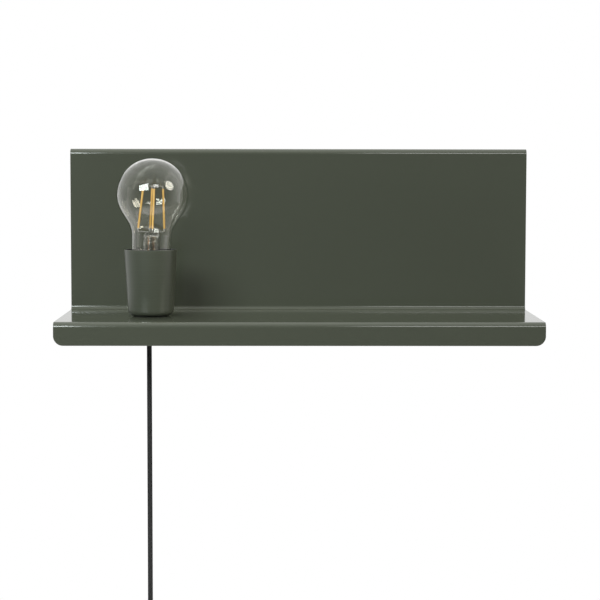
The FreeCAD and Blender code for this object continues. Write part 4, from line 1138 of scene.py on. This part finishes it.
@dataclass
class FoldedShelf(SubAssembly):
    """The folded sheet, its wall bracket and the bumpers behind it."""

    width: float = 500.0
    top: float = 24.0
    stand_off: float = 15.0
    lip_face: float = -180.0
    lip_drop: float = 24.0
    thickness: float = 1.5
    bend: float = 4.4
    hook_bend: float = 1.2
    hook_drop: float = 12.0
    hook_gap: float = 0.5
    lip_corner: float = 10.0
    edge: float = 0.35
    hole_sides: int = 48
    bumper_places: tuple[float, ...] = (-200.0, 200.0)
    bumper_rise: float = 12.0
    bumper_radii: tuple[float, ...] = (8.0, 6.0, 2.6, 2.2)
    bumper_rounds: tuple[float, ...] = (1.6, 0.8, 0.6)
    bumper_well: float = 2.0
    bumper_sides: int = 48

    def outline(self) -> list[Corner]:
        """Draws the sheet's side, from the hook over the face to the lip and back behind it.

        Returns:
            The corners of the closed outline.
        """
        thick, wide = self.thickness, self.bend + self.thickness
        low, foot = self.top - self.hook_drop, SHELF - self.lip_drop
        face, back = -self.stand_off, -self.stand_off + thick
        return [
            Corner(-self.hook_gap, low),
            Corner(-self.hook_gap, self.top, self.hook_bend + thick),
            Corner(face, self.top, wide),
            Corner(face, SHELF, self.bend),
            Corner(self.lip_face, SHELF, wide),
            Corner(self.lip_face, foot),
            Corner(self.lip_face + thick, foot),
            Corner(self.lip_face + thick, SHELF - thick, self.bend),
            Corner(back, SHELF - thick, wide),
            Corner(back, self.top - thick, self.bend),
            Corner(-self.hook_gap - thick, self.top - thick, self.hook_bend),
            Corner(-self.hook_gap - thick, low),
        ]

    def sheet(self) -> None:
        """Folds the sheet, rounds the lip's lower corners and takes the sharpness off its cut edges."""
        mesh = bmesh.new()
        draw_line(mesh, self.outline(), Plane.SIDE, True, 5.0)
        side = bmesh.ops.contextual_create(mesh, geom=mesh.edges[:])["faces"]
        raise_faces(mesh, side, (self.width, 0.0, 0.0))
        move(mesh, -self.width / 2, 0, 0)
        rims = self.frame_hole(mesh, SHELF) + self.frame_hole(mesh, SHELF - self.thickness)
        bmesh.ops.bridge_loops(mesh, edges=rims)
        bmesh.ops.recalc_face_normals(mesh, faces=mesh.faces[:])
        foot = SHELF - self.lip_drop
        corners = [
            edge for edge in mesh.edges
            if all(abs(vert.co.z - foot) < LEVEL for vert in edge.verts)
            and abs(sum(vert.co.x for vert in edge.verts)) > self.width - LEVEL
        ]
        soften(mesh, corners, self.lip_corner, 18)
        soften(mesh, sharp_edges(mesh.edges, 60.0), self.edge)
        sheet = self.piece(mesh, "folded_sheet", GREEN_PAINT, Body.LAMP, ["shelf_body"], 50.0)
        sheet.modifiers.new("even_faces", "WEIGHTED_NORMAL").keep_sharp = True

    def flat_faces(self, mesh: Mesh, level: float) -> list[Face]:
        """Finds the level faces at a height.

        Args:
            mesh: The sheet.
            level: The height.

        Returns:
            The faces.
        """
        mesh.normal_update()
        return [
            face for face in mesh.faces if abs(face.normal.z) > 0.99 and abs(face.verts[0].co.z - level) < LEVEL
        ]

    def frame_hole(self, mesh: Mesh, level: float) -> list[Edge]:
        """Opens one flat face of the shelf for the lampholder's nipple.

        Args:
            mesh: The sheet.
            level: The face's height.

        Returns:
            The edges of the round hole.
        """
        place = Vector((CUP_X, CUP_Y, level))
        for aside in (Vector((1, 0, 0)), Vector((0, 1, 0))):
            for side in (-2, 2):
                flat = self.flat_faces(mesh, level)
                around = {item for face in flat for item in (*face.edges, *face.verts)}
                bmesh.ops.bisect_plane(
                    mesh, geom=flat + list(around), dist=ON_CUT, plane_co=place + aside * side * BORE_R,
                    plane_no=aside,
                )
        patch = min(self.flat_faces(mesh, level), key=lambda face: (face.calc_center_median() - place).length)
        frame = list(patch.edges)
        bmesh.ops.delete(mesh, geom=[patch], context="FACES_ONLY")
        cut = bmesh.ops.subdivide_edges(mesh, edges=frame, cuts=self.hole_sides // 4 - 1)["geom_inner"]
        corners = {vert for vert in cut if isinstance(vert, Vert)}
        frame = list({edge for vert in corners for edge in vert.link_edges if edge.is_boundary})
        matrix = Matrix.Translation(place) @ Matrix.Rotation(math.pi / 4, 4, "Z")
        made = bmesh.ops.create_circle(mesh, radius=BORE_R, segments=self.hole_sides, matrix=matrix)["verts"]
        rim = list({edge for vert in made for edge in vert.link_edges})
        bmesh.ops.bridge_loops(mesh, edges=frame + rim)
        return rim

    def bumpers(self) -> None:
        """Two soft round bumpers on the panel's back, each with a shallow well."""
        reach = self.stand_off - self.thickness
        base, head, mouth, well = self.bumper_radii
        outer, inner, floor = self.bumper_rounds
        made = []
        for x in self.bumper_places:
            one = lathe([
                Corner(0.0, 0.0), Corner(base, 0.0), Corner(head, reach, outer), Corner(mouth, reach, inner),
                Corner(well, reach - self.bumper_well, floor), Corner(0.0, reach - self.bumper_well),
            ], self.bumper_sides, closed=False)
            made.append(move(turn(one, -90.0, "X"), x, -reach, SHELF + self.bumper_rise))
        self.piece(merge(*made), "bumpers", BUMPER_RUBBER, Body.LAMP, ["wall_bumpers"])

    def build(self) -> None:
        """Builds the sheet and the bumpers, and dresses the bracket."""
        self.sheet()
        self.bumpers()
        self.keep(BRACKET_ZINC, "wall_bracket")


@dataclass
class SocketCup(SubAssembly):
    """The spun cup and its gasket, with heights above the shelf."""

    foot_r: float = 23.8
    rim_r: float = 27.7
    foot: float = 0.8
    height: float = 70.0
    wall: float = 1.2
    floor: float = 1.5
    foot_round: float = 6.0
    rim_round: float = 0.45
    sides: int = 160

    def build(self) -> None:
        """Spins the cup and dresses its gasket."""
        inside = self.foot + self.floor
        mesh = lathe([
            Corner(BORE_R, self.foot),
            Corner(self.foot_r, self.foot, self.foot_round),
            Corner(self.rim_r, self.height, self.rim_round),
            Corner(self.rim_r - self.wall, self.height, self.rim_round),
            Corner(self.foot_r - self.wall, inside, self.foot_round - self.wall),
            Corner(BORE_R, inside),
        ], self.sides, step=7.0)
        self.piece(move(mesh, CUP_X, CUP_Y, SHELF), "spun_cup", CUP_PAINT, Body.LAMP, ["cup"])
        self.keep(BUMPER_RUBBER, "cup_gasket")


class Lampholder(SubAssembly):
    """The lampholder in the cup and the fixings under the shelf."""

    def build(self) -> None:
        """Dresses the holder, its metal and the fixings."""
        self.keep(HOLDER_PLASTIC, "holder_cap", "holder_skirt", "cord_grip")
        self.keep(HOLDER_CERAMIC, "holder_insert")
        self.keep(CONTACT_BRASS, "holder_terminals", "screw_shell", "centre_contact")
        self.keep(WIRE_SLEEVE, "core_wires")
        self.keep(NIPPLE_ZINC, "nipple")
        self.keep(ZINC_FITTINGS, "toothed_washer", "lock_nut", "grip_screw")
        self.keep(HELD_CORD, "cord_in_lamp")


@dataclass
class Bulb(SubAssembly):
    """The clear bulb with its threaded cap, with heights above the shelf."""

    ball_r: float = 37.8
    top: float = 165.5
    slope: float = 0.65
    neck_r: float = 21.2
    neck_blend: float = 25.0
    neck_foot_r: float = 20.9
    neck_foot: float = 67.5
    neck_round: float = 3.0
    seal_r: float = 12.4
    seal: float = 61.0
    seal_height: float = 1.8
    glass: float = 0.8
    glass_sides: int = 144
    cap_r: float = 13.1
    cap_wall: float = 0.35
    cap_top: float = 62.5
    cap_shoulder: float = 41.0
    cap_round: float = 1.5
    cap_foot: float = 37.2
    cap_foot_r: float = 8.5
    cap_sides: int = 72
    thread_low: float = 43.0
    thread_high: float = 60.0
    thread_pitch: float = 3.629
    thread_depth: float = 0.85
    thread_row: float = 0.3
    thread_fade: float = 2.0
    lean: float = 1.6
    lean_from: float = 45.0
    lead_r: float = 0.4
    lead_places: tuple[float, ...] = (-3.3, 2.6)
    lead_foot: float = 57.5
    lead_head: float = 84.0
    lead_sides: int = 16
    exhaust_r: float = 2.9
    exhaust_head: float = 83.0
    exhaust_round: float = 0.3
    exhaust_sides: int = 32

    def add_piece(self, mesh: Mesh, name: str, finish: Finish, replaces: Sequence[str] = ()) -> None:
        """Puts an upright mesh in the holder as a piece, leaning to the right by its thread's play.

        Args:
            mesh: The mesh, which is used up.
            name: The piece's name.
            finish: Its finish.
            replaces: The nodes that it stands for.
        """
        turn(mesh, self.lean, "Y", self.lean_from)
        self.piece(move(mesh, CUP_X, CUP_Y, SHELF), name, finish, Body.BULB, replaces)

    def side(self, inset: float) -> list[Corner]:
        """The glass's side line from the seal to the crown.

        Args:
            inset: How far it lies inside the outer face.

        Returns:
            Its corners.
        """
        ball, centre, slope = self.ball_r - inset, self.top - self.ball_r, math.atan(self.slope)
        neck = self.neck_r - inset
        neck_top = centre + (neck * math.cos(slope) - ball) / math.sin(slope)
        reach = ball * (1 + math.sin(slope)) / math.cos(slope)
        return [
            Corner(self.seal_r - inset, self.seal),
            Corner(self.seal_r - inset, self.seal + self.seal_height),
            Corner(self.neck_foot_r - inset, self.neck_foot, self.neck_round),
            Corner(neck, neck_top, self.neck_blend + inset),
            Corner(reach, centre + ball, ball),
        ]

    def envelope(self) -> None:
        """Blows the glass: an outer and an inner face that meet at the seal."""
        crown = [Corner(0.0, self.top), Corner(0.0, self.top - self.glass)]
        corners = self.side(0.0) + crown + self.side(self.glass)[::-1]
        self.add_piece(lathe(corners, self.glass_sides, step=3.0), "bulb_envelope", CLEAR_GLASS, ["bulb_glass"])

    def cap(self) -> None:
        """Rolls the cap's thread into a plain cap."""
        slant = math.atan2(self.cap_shoulder - self.cap_foot, self.cap_r - self.cap_foot_r)
        lift = self.cap_wall / math.cos(slant)
        inner = self.cap_r - self.cap_wall
        mesh = lathe([
            Corner(self.cap_r, self.cap_top), Corner(self.cap_r, self.cap_shoulder, self.cap_round),
            Corner(self.cap_foot_r, self.cap_foot), Corner(self.cap_foot_r, self.cap_foot + lift),
            Corner(
                inner, self.cap_shoulder + lift - self.cap_wall * math.tan(slant), self.cap_round - self.cap_wall
            ),
            Corner(inner, self.cap_top),
        ], self.cap_sides)
        for row in range(int((self.thread_high - self.thread_low) / self.thread_row) + 1):
            bmesh.ops.bisect_plane(
                mesh, geom=mesh.verts[:] + mesh.edges[:] + mesh.faces[:], dist=ON_CUT,
                plane_co=(0, 0, self.thread_low + row * self.thread_row), plane_no=(0, 0, 1),
            )
        for vert in mesh.verts:
            self.press_thread(vert)
        self.add_piece(mesh, "threaded_cap", CAP_NICKEL, ["bulb_cap"])

    def press_thread(self, vert: Vert) -> None:
        """Moves one point of the cap in by the thread's depth there.

        Args:
            vert: The point, in the cap's own frame.
        """
        away = min(vert.co.z - self.thread_low, self.thread_high - vert.co.z)
        if away <= 0:
            return
        around = math.atan2(vert.co.y, vert.co.x) / (2 * math.pi)
        wave = 0.5 - 0.5 * math.cos(2 * math.pi * (vert.co.z / self.thread_pitch - around))
        depth = self.thread_depth * wave * min(1.0, away / self.thread_fade)
        radius = math.hypot(vert.co.x, vert.co.y)
        vert.co.x *= (radius - depth) / radius
        vert.co.y *= (radius - depth) / radius

    def leads(self) -> None:
        """The lead wires that run up the stem from the cap."""
        ends = [
            Corner(0.0, self.lead_foot), Corner(self.lead_r, self.lead_foot), Corner(self.lead_r, self.lead_head),
            Corner(0.0, self.lead_head),
        ]
        wires = [move(lathe(ends, self.lead_sides, closed=False), aside, 0, 0) for aside in self.lead_places]
        self.add_piece(merge(*wires), "stem_leads", LEAD_COPPER)

    def exhaust(self) -> None:
        """The thin open glass tube in the stem's middle."""
        inner = self.exhaust_r - self.glass
        mesh = lathe([
            Corner(self.exhaust_r, self.seal), Corner(self.exhaust_r, self.exhaust_head, self.exhaust_round),
            Corner(inner, self.exhaust_head, self.exhaust_round), Corner(inner, self.seal),
        ], self.exhaust_sides)
        self.add_piece(mesh, "exhaust_tube", CLEAR_GLASS)

    def build(self) -> None:
        """Builds the glass and the cap, and dresses what the glass holds."""
        self.envelope()
        self.cap()
        self.leads()
        self.exhaust()
        self.keep(PRESSED_GLASS, "bulb_stem")
        self.keep(CAP_NICKEL, "contact_tip")
        self.keep(CAP_BLACK_GLASS, "cap_insulator")
        self.keep(DRIVER_BOARD, "bulb_driver")
        self.keep(FILAMENT_PHOSPHOR, "filaments")
        self.keep(BULB_WIRE, "filament_tips", "support_wires")


@dataclass
class CordRun(SubAssembly):
    """The textile cord from the grip to the plug, with its coil and tie."""

    radius: float = 2.6
    drop_x: float = -158.3
    drop_y: float = -100.0
    exit_z: float = -180.6
    last_straight: float = -541.0
    length: float = 2017.0
    coil_z: float = -572.0
    inner_r: float = 26.0
    radial_step: float = 3.4
    layer_step: float = 6.3
    layers: int = 4
    half_turns: int = 3
    points_per_half: int = 8
    sides: int = 20
    tail: tuple[Point, ...] = (
        (-161.7, -81.1, -580.0), (-161.7, -81.1, -594.0), (-157.7, -85.1, -610.0), (-157.7, -85.1, -626.0),
    )
    strap: float = 0.95
    strap_trim: float = 0.2
    strap_round: float = 5.0
    strap_soft: float = 0.25
    lap: float = 0.45

    def stations(self) -> list[tuple[float, float]]:
        """Lays out the coil, layer by layer.

        Returns:
            Its (radius, layer height) at every half turn.
        """
        radius, step = self.inner_r + self.half_turns * self.radial_step, -self.radial_step
        found = []
        for layer in range(self.layers):
            for half in range(self.half_turns + 1):
                found.append((radius, layer * self.layer_step))
                radius += step if half < self.half_turns else 0.0
            step = -step
        found.append((radius - step, (self.layers - 1) * self.layer_step))
        return found

    def route(self) -> list[Vector]:
        """Lays out the cord: straight down, round the coil and along the tail to the plug.

        Returns:
            The points that steer its spline.
        """
        stations = self.stations()
        centre_x = self.drop_x + stations[0][0]
        swell = 1 / math.cos(math.pi / (2 * self.points_per_half))
        points = [Vector((self.drop_x, self.drop_y, z)) for z in (self.exit_z, self.last_straight)]
        for i, ((near, low), (far, high)) in enumerate(zip(stations, stations[1:])):
            side = -1 if i % 2 == 0 else 1
            middle, reach = centre_x + side * (near - far) / 2, (near + far) / 2 * swell
            for j in range(self.points_per_half):
                share = j / self.points_per_half
                points.append(Vector((
                    middle + side * reach * math.cos(math.pi * share),
                    self.drop_y + low + (high - low) * share,
                    self.coil_z + side * reach * math.sin(math.pi * share),
                )))
        return points + [Vector(point) for point in self.tail]

    def centreline(self) -> list[Vector]:
        """Reads the smooth line that the route's spline gives.

        Returns:
            The line's points, in millimetres.
        """
        data = bpy.data.curves.new("cord_route", "CURVE")
        data.dimensions = "3D"
        data.resolution_u = 5
        spline = data.splines.new("NURBS")
        points = self.route()
        spline.points.add(len(points) - 1)
        for held, point in zip(spline.points, points):
            held.co = (*point, 1.0)
        spline.order_u = 3
        spline.use_endpoint_u = True
        carrier = put_in_scene("cord_route", data)
        bpy.context.view_layer.update()
        read = bpy.data.meshes.new_from_object(carrier.evaluated_get(bpy.context.evaluated_depsgraph_get()))
        line = [vert.co.copy() for vert in read.vertices]
        bpy.data.meshes.remove(read)
        bpy.data.objects.remove(carrier)
        bpy.data.curves.remove(data)
        return line

    def tube(self, line: Sequence[Vector]) -> Mesh:
        """Draws a ring along a line, with a map of metres along and turns round.

        Args:
            line: The centreline.

        Returns:
            The tube.
        """
        mesh = bmesh.new()
        radius = self.radius / math.cos(math.pi / self.sides)
        ring = bmesh.ops.create_circle(mesh, cap_ends=True, radius=radius, segments=self.sides)["verts"]
        way = (line[1] - line[0]).normalized()
        bmesh.ops.rotate(mesh, verts=ring, cent=(0, 0, 0), matrix=UP.rotation_difference(way).to_matrix())
        bmesh.ops.translate(mesh, vec=line[0], verts=ring)
        distance = 0.0
        travelled = {vert: (0.0, i / self.sides) for i, vert in enumerate(ring)}
        rim = list(mesh.edges)
        for i in range(1, len(line)):
            onward = (line[min(i + 1, len(line) - 1)] - line[i - 1]).normalized()
            grown = bmesh.ops.extrude_edge_only(mesh, edges=rim)["geom"]
            fresh = [item for item in grown if isinstance(item, Vert)]
            rim = [item for item in grown if isinstance(item, Edge) and all(vert in fresh for vert in item.verts)]
            distance += (line[i] - line[i - 1]).length
            self.carry(travelled, fresh, distance)
            bmesh.ops.translate(mesh, vec=line[i] - line[i - 1], verts=fresh)
            matrix = way.rotation_difference(onward).to_matrix()
            bmesh.ops.rotate(mesh, verts=fresh, cent=line[i], matrix=matrix)
            way = onward
        bmesh.ops.contextual_create(mesh, geom=rim)
        self.lay_map(mesh, travelled)
        bmesh.ops.recalc_face_normals(mesh, faces=mesh.faces[:])
        return mesh

    def carry(self, travelled: dict[Vert, tuple[float, float]], fresh: Sequence[Vert], distance: float) -> None:
        """Gives each new point the place round the cord of the point that it grew from.

        Args:
            travelled: Each point's distance along and place round.
            fresh: The new ring's points.
            distance: How far along they lie.
        """
        for vert in fresh:
            joined = [edge.other_vert(vert) for edge in vert.link_edges]
            parent = next(other for other in joined if other in travelled and other not in fresh)
            travelled[vert] = (distance, travelled[parent][1])

    def lay_map(self, mesh: Mesh, travelled: Mapping[Vert, tuple[float, float]]) -> None:
        """Writes the cord's map.

        Args:
            mesh: The tube.
            travelled: Each point's distance along in millimetres and its place round from 0 to 1.
        """
        layer = mesh.loops.layers.uv.new("cord_map")
        for face in mesh.faces:
            rounds = [travelled[loop.vert][1] for loop in face.loops]
            wraps = max(rounds) - min(rounds) > 0.5 and len(face.loops) == 4
            for loop, around in zip(face.loops, rounds):
                along = travelled[loop.vert][0] * MM
                loop[layer].uv = (along, around + 1.0 if wraps and around < 0.5 else around)

    def tie(self) -> bpy.types.Object:
        """A woven strap round the coil's right side, with its end lapped over.

        Returns:
            The strap.
        """
        low, high = (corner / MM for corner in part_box("coil_tie"))
        half = (high.z - low.z) / 2 - self.strap_trim
        mesh = bmesh.new()
        for out, whole in ((0.0, True), (self.strap, False)):
            self.band(mesh, (low.x - out, high.x + out, low.y - out, high.y + out), half, whole)
        soften(mesh, sharp_edges(mesh.edges, 60.0), self.strap_soft, 2)
        move(mesh, 0, 0, (low.z + high.z) / 2)
        return self.piece(mesh, "strap", TIE_STRAP, Body.LAMP, ["coil_tie"])

    def band(self, mesh: Mesh, sides: tuple[float, float, float, float], half: float, whole: bool) -> None:
        """Draws one turn of the strap, or the lapped end of one.

        Args:
            mesh: Where the band goes.
            sides: Its left, right, front and back.
            half: Half its width along the cord.
            whole: True for a whole turn, or False for an end on the right side.
        """
        left, right, front, back = sides
        if not whole:
            left = right - (right - left) * self.lap
        rings = []
        for shrink in (0.0, self.strap):
            start = left + shrink * whole
            corners = [
                (start, front + shrink), (right - shrink, front + shrink), (right - shrink, back - shrink),
                (start, back - shrink),
            ]
            verts = [mesh.verts.new((x, y, -half)) for x, y in corners]
            edges = [mesh.edges.new(pair) for pair in zip(verts, verts[1:] + verts[:1] * whole)]
            turned = verts if whole else verts[1:3]
            rounded = soften(mesh, turned, self.strap_round - shrink, 8, "VERTICES")
            rings.append({edge for vert in rounded for edge in vert.link_edges} | {e for e in edges if e.is_valid})
        loops = list(rings[0] | rings[1])
        if whole:
            faces = bmesh.ops.bridge_loops(mesh, edges=loops)["faces"]
        else:
            ends = [
                sorted((v for edge in ring for v in edge.verts if len(v.link_edges) == 1), key=lambda v: v.co.y)
                for ring in rings
            ]
            loops += [mesh.edges.new((ends[0][i], ends[1][i])) for i in (0, -1)]
            faces = bmesh.ops.contextual_create(mesh, geom=loops)["faces"]
        raise_faces(mesh, faces, (0.0, 0.0, 2 * half))

    def build(self) -> None:
        line = self.centreline()
        cord = self.piece(
            self.tube(line), "textile_cord", TEXTILE_CORD, Body.LAMP,
            ["cord_drop", "cord_lead", "cord_coil", "cord_tail"], 60.0,
        )
        strap = self.tie()


class InlineSwitch(SubAssembly):
    """The rocker switch on the cord."""

    def build(self) -> None:
        """Dresses the switch."""
        self.keep(SWITCH_PLASTIC, "switch_front", "switch_back")
        self.keep(ROCKER_PLASTIC, "switch_rocker")
        self.keep(ZINC_FITTINGS, "switch_screws")
        self.keep(CONTACT_BRASS, "switch_contacts")


class Plug(SubAssembly):
    """The flat plug at the cord's end."""

    def build(self) -> None:
        """Dresses the plug."""
        self.keep(PLUG_PLASTIC, "plug_relief", "plug_body")
        self.keep(PIN_NICKEL, "plug_pins")


# ---- studio ---------------------------------------------------------------------------------------------


@dataclass(frozen=True)
class Softbox:
    """A soft lamp that looks at the shelf."""

    name: str
    place: Point
    aim: Point
    size: tuple[float, float]
    power: float
    colour: Colour = (1.0, 1.0, 1.0)
    round_edge: bool = False
    mirrored: bool = True

    def hang(self) -> None:
        """Hangs the lamp."""
        light = bpy.data.lights.new(self.name, "AREA")
        light.shape = "ELLIPSE" if self.round_edge else "RECTANGLE"
        light.size, light.size_y = self.size
        light.energy = self.power
        light.color = self.colour
        lamp = put_in_scene(self.name, light)
        lamp.location = self.place
        lamp.rotation_mode = "QUATERNION"
        lamp.rotation_quaternion = (Vector(self.aim) - Vector(self.place)).to_track_quat("-Z", "Y")
        lamp.visible_camera = False
        lamp.visible_glossy = lamp.visible_transmission = self.mirrored
        LOG.info("hung lamp %s", self.name)


@dataclass
class Studio:
    """Camera, lamps, background and floor, in metres and degrees."""

    place: Point = (-0.01695, -2.0468, 0.01383)
    pitch: float = 4.3802
    yaw: float = 0.5250
    roll: float = 0.0813
    lens: float = 110.978
    sensor: float = 36.0
    ambient: float = 0.07
    bright_side: Point = (0.0, 1.0, 0.45)
    room_from: float = -0.85
    room_to: float = 0.4
    room_shine: float = 0.1
    floor_centre: Point = (0.0, -0.3, -0.74)
    floor_r: float = 1.1
    floor_sides: int = 96
    floor_fades: tuple[float, float] = (0.5, 1.08)
    floor_tint: Colour = (1.0, 0.97, 0.97)
    floor_shades: tuple[float, float] = (0.86, 0.9)
    floor_roughness: float = 0.8
    lamps: tuple[Softbox, ...] = (
        Softbox("key", (-1.015, -1.73, 0.74), (-1.1, -0.1, 0.0), (1.16, 0.66), 35.0, (0.93, 1.0, 1.0)),
        Softbox("fill", (3.96, -1.95, 2.14), (-0.155, -0.1, -0.02), (2.4, 2.4), 115.0, (1.0, 0.97, 0.86), True),
        Softbox("front", (0.585, -2.65, 1.45), (0.0, -0.1, -0.02), (0.8, 0.5), 7.6),
        Softbox("dome", (-0.8, -0.3, 2.6), (-0.2, -0.1, -0.1), (2.4, 1.2), 82.0, mirrored=False),
        Softbox("rear", (0.6, 2.6, 0.9), (0.0, 0.0, -0.2), (2.4, 1.8), 45.0, mirrored=False),
    )

    def camera(self) -> None:
        """Sets the camera where the photograph was taken from."""
        data = bpy.data.cameras.new("camera")
        data.lens = self.lens
        data.sensor_width = self.sensor
        camera = put_in_scene("camera", data)
        turns = ((-self.yaw, "Z"), (90 - self.pitch, "X"), (self.roll, "Z"))
        swing, tilt, lean = (Matrix.Rotation(math.radians(degrees), 4, axis) for degrees, axis in turns)
        camera.matrix_world = Matrix.Translation(self.place) @ swing @ tilt @ lean
        bpy.context.scene.camera = camera

    def background(self) -> None:
        """A white surround, dark where a mirrored or bent ray looks back into the room, and a plain ambient light."""
        world = bpy.data.worlds.new("surround")
        bpy.context.scene.world = world
        w = Wiring(blank_tree(world))
        path = w.add("ShaderNodeLightPath").outputs
        heading = w.vector("DOT_PRODUCT", w.add("ShaderNodeTexCoord").outputs["Generated"], self.bright_side)
        beyond = w.span(heading, self.room_from, self.room_to, self.room_shine, 1.0)
        turned = w.math("MAXIMUM", path["Is Glossy Ray"], path["Is Transmission Ray"])
        seen = w.math("MAXIMUM", path["Is Camera Ray"], w.math("MULTIPLY", turned, beyond))
        strength = w.math("MULTIPLY_ADD", seen, 1.0 - self.ambient, self.ambient)
        light = w.feed_all(w.add("ShaderNodeBackground"), (1.0, 1.0, 1.0), strength)
        w.feed_all(w.add("ShaderNodeOutputWorld"), light.outputs[0])

    def floor(self) -> None:
        """A pale round floor well below the lamp, which fades out at its rim and is clear from below."""
        mesh = bmesh.new()
        bmesh.ops.create_circle(mesh, cap_ends=True, radius=self.floor_r, segments=self.floor_sides)
        move(mesh, *self.floor_centre)
        bmesh.ops.recalc_face_normals(mesh, faces=mesh.faces[:])
        data = settle(mesh, "floor")
        floor = put_in_scene("floor", data)
        data.materials.append(self.floor_material())

    def floor_material(self) -> bpy.types.Material:
        """Returns the floor's material."""
        material = bpy.data.materials.new("floor_finish")
        w = Wiring(blank_tree(material), (0.0, 0.0, 0.0))
        shader = w.add("ShaderNodeBsdfPrincipled")
        w.feed(shader.inputs["Roughness"], self.floor_roughness)
        shade = w.span(w.noise(w.place, 3.0, 4.0), 0.3, 0.7, *self.floor_shades)
        w.feed(shader.inputs["Base Color"], w.vector("SCALE", self.floor_tint, shade))
        reach = w.vector("DISTANCE", w.place, self.floor_centre)
        below = w.add("ShaderNodeNewGeometry").outputs["Backfacing"]
        share = w.math("MAXIMUM", w.span(reach, *self.floor_fades, 0.0, 1.0), below)
        w.feed_all(w.add("ShaderNodeOutputMaterial"), w.clear(share, shader.outputs["BSDF"]))
        return material

    def build(self) -> None:
        """Sets up the studio."""
        self.camera()
        self.background()
        self.floor()
        for lamp in self.lamps:
            lamp.hang()
        bpy.context.scene.view_settings.view_transform = "Standard"


def main() -> None:
    """Builds the lamp in its studio."""
    logging.basicConfig(level=logging.INFO, format="%(name)s: %(message)s")
    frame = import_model()
    Studio().build()
    for assembly in (CordRun, FoldedShelf, SocketCup, Lampholder, Bulb, InlineSwitch, Plug):
        assembly(frame["nodes"]).build()


if __name__ == "__main__":
    main()
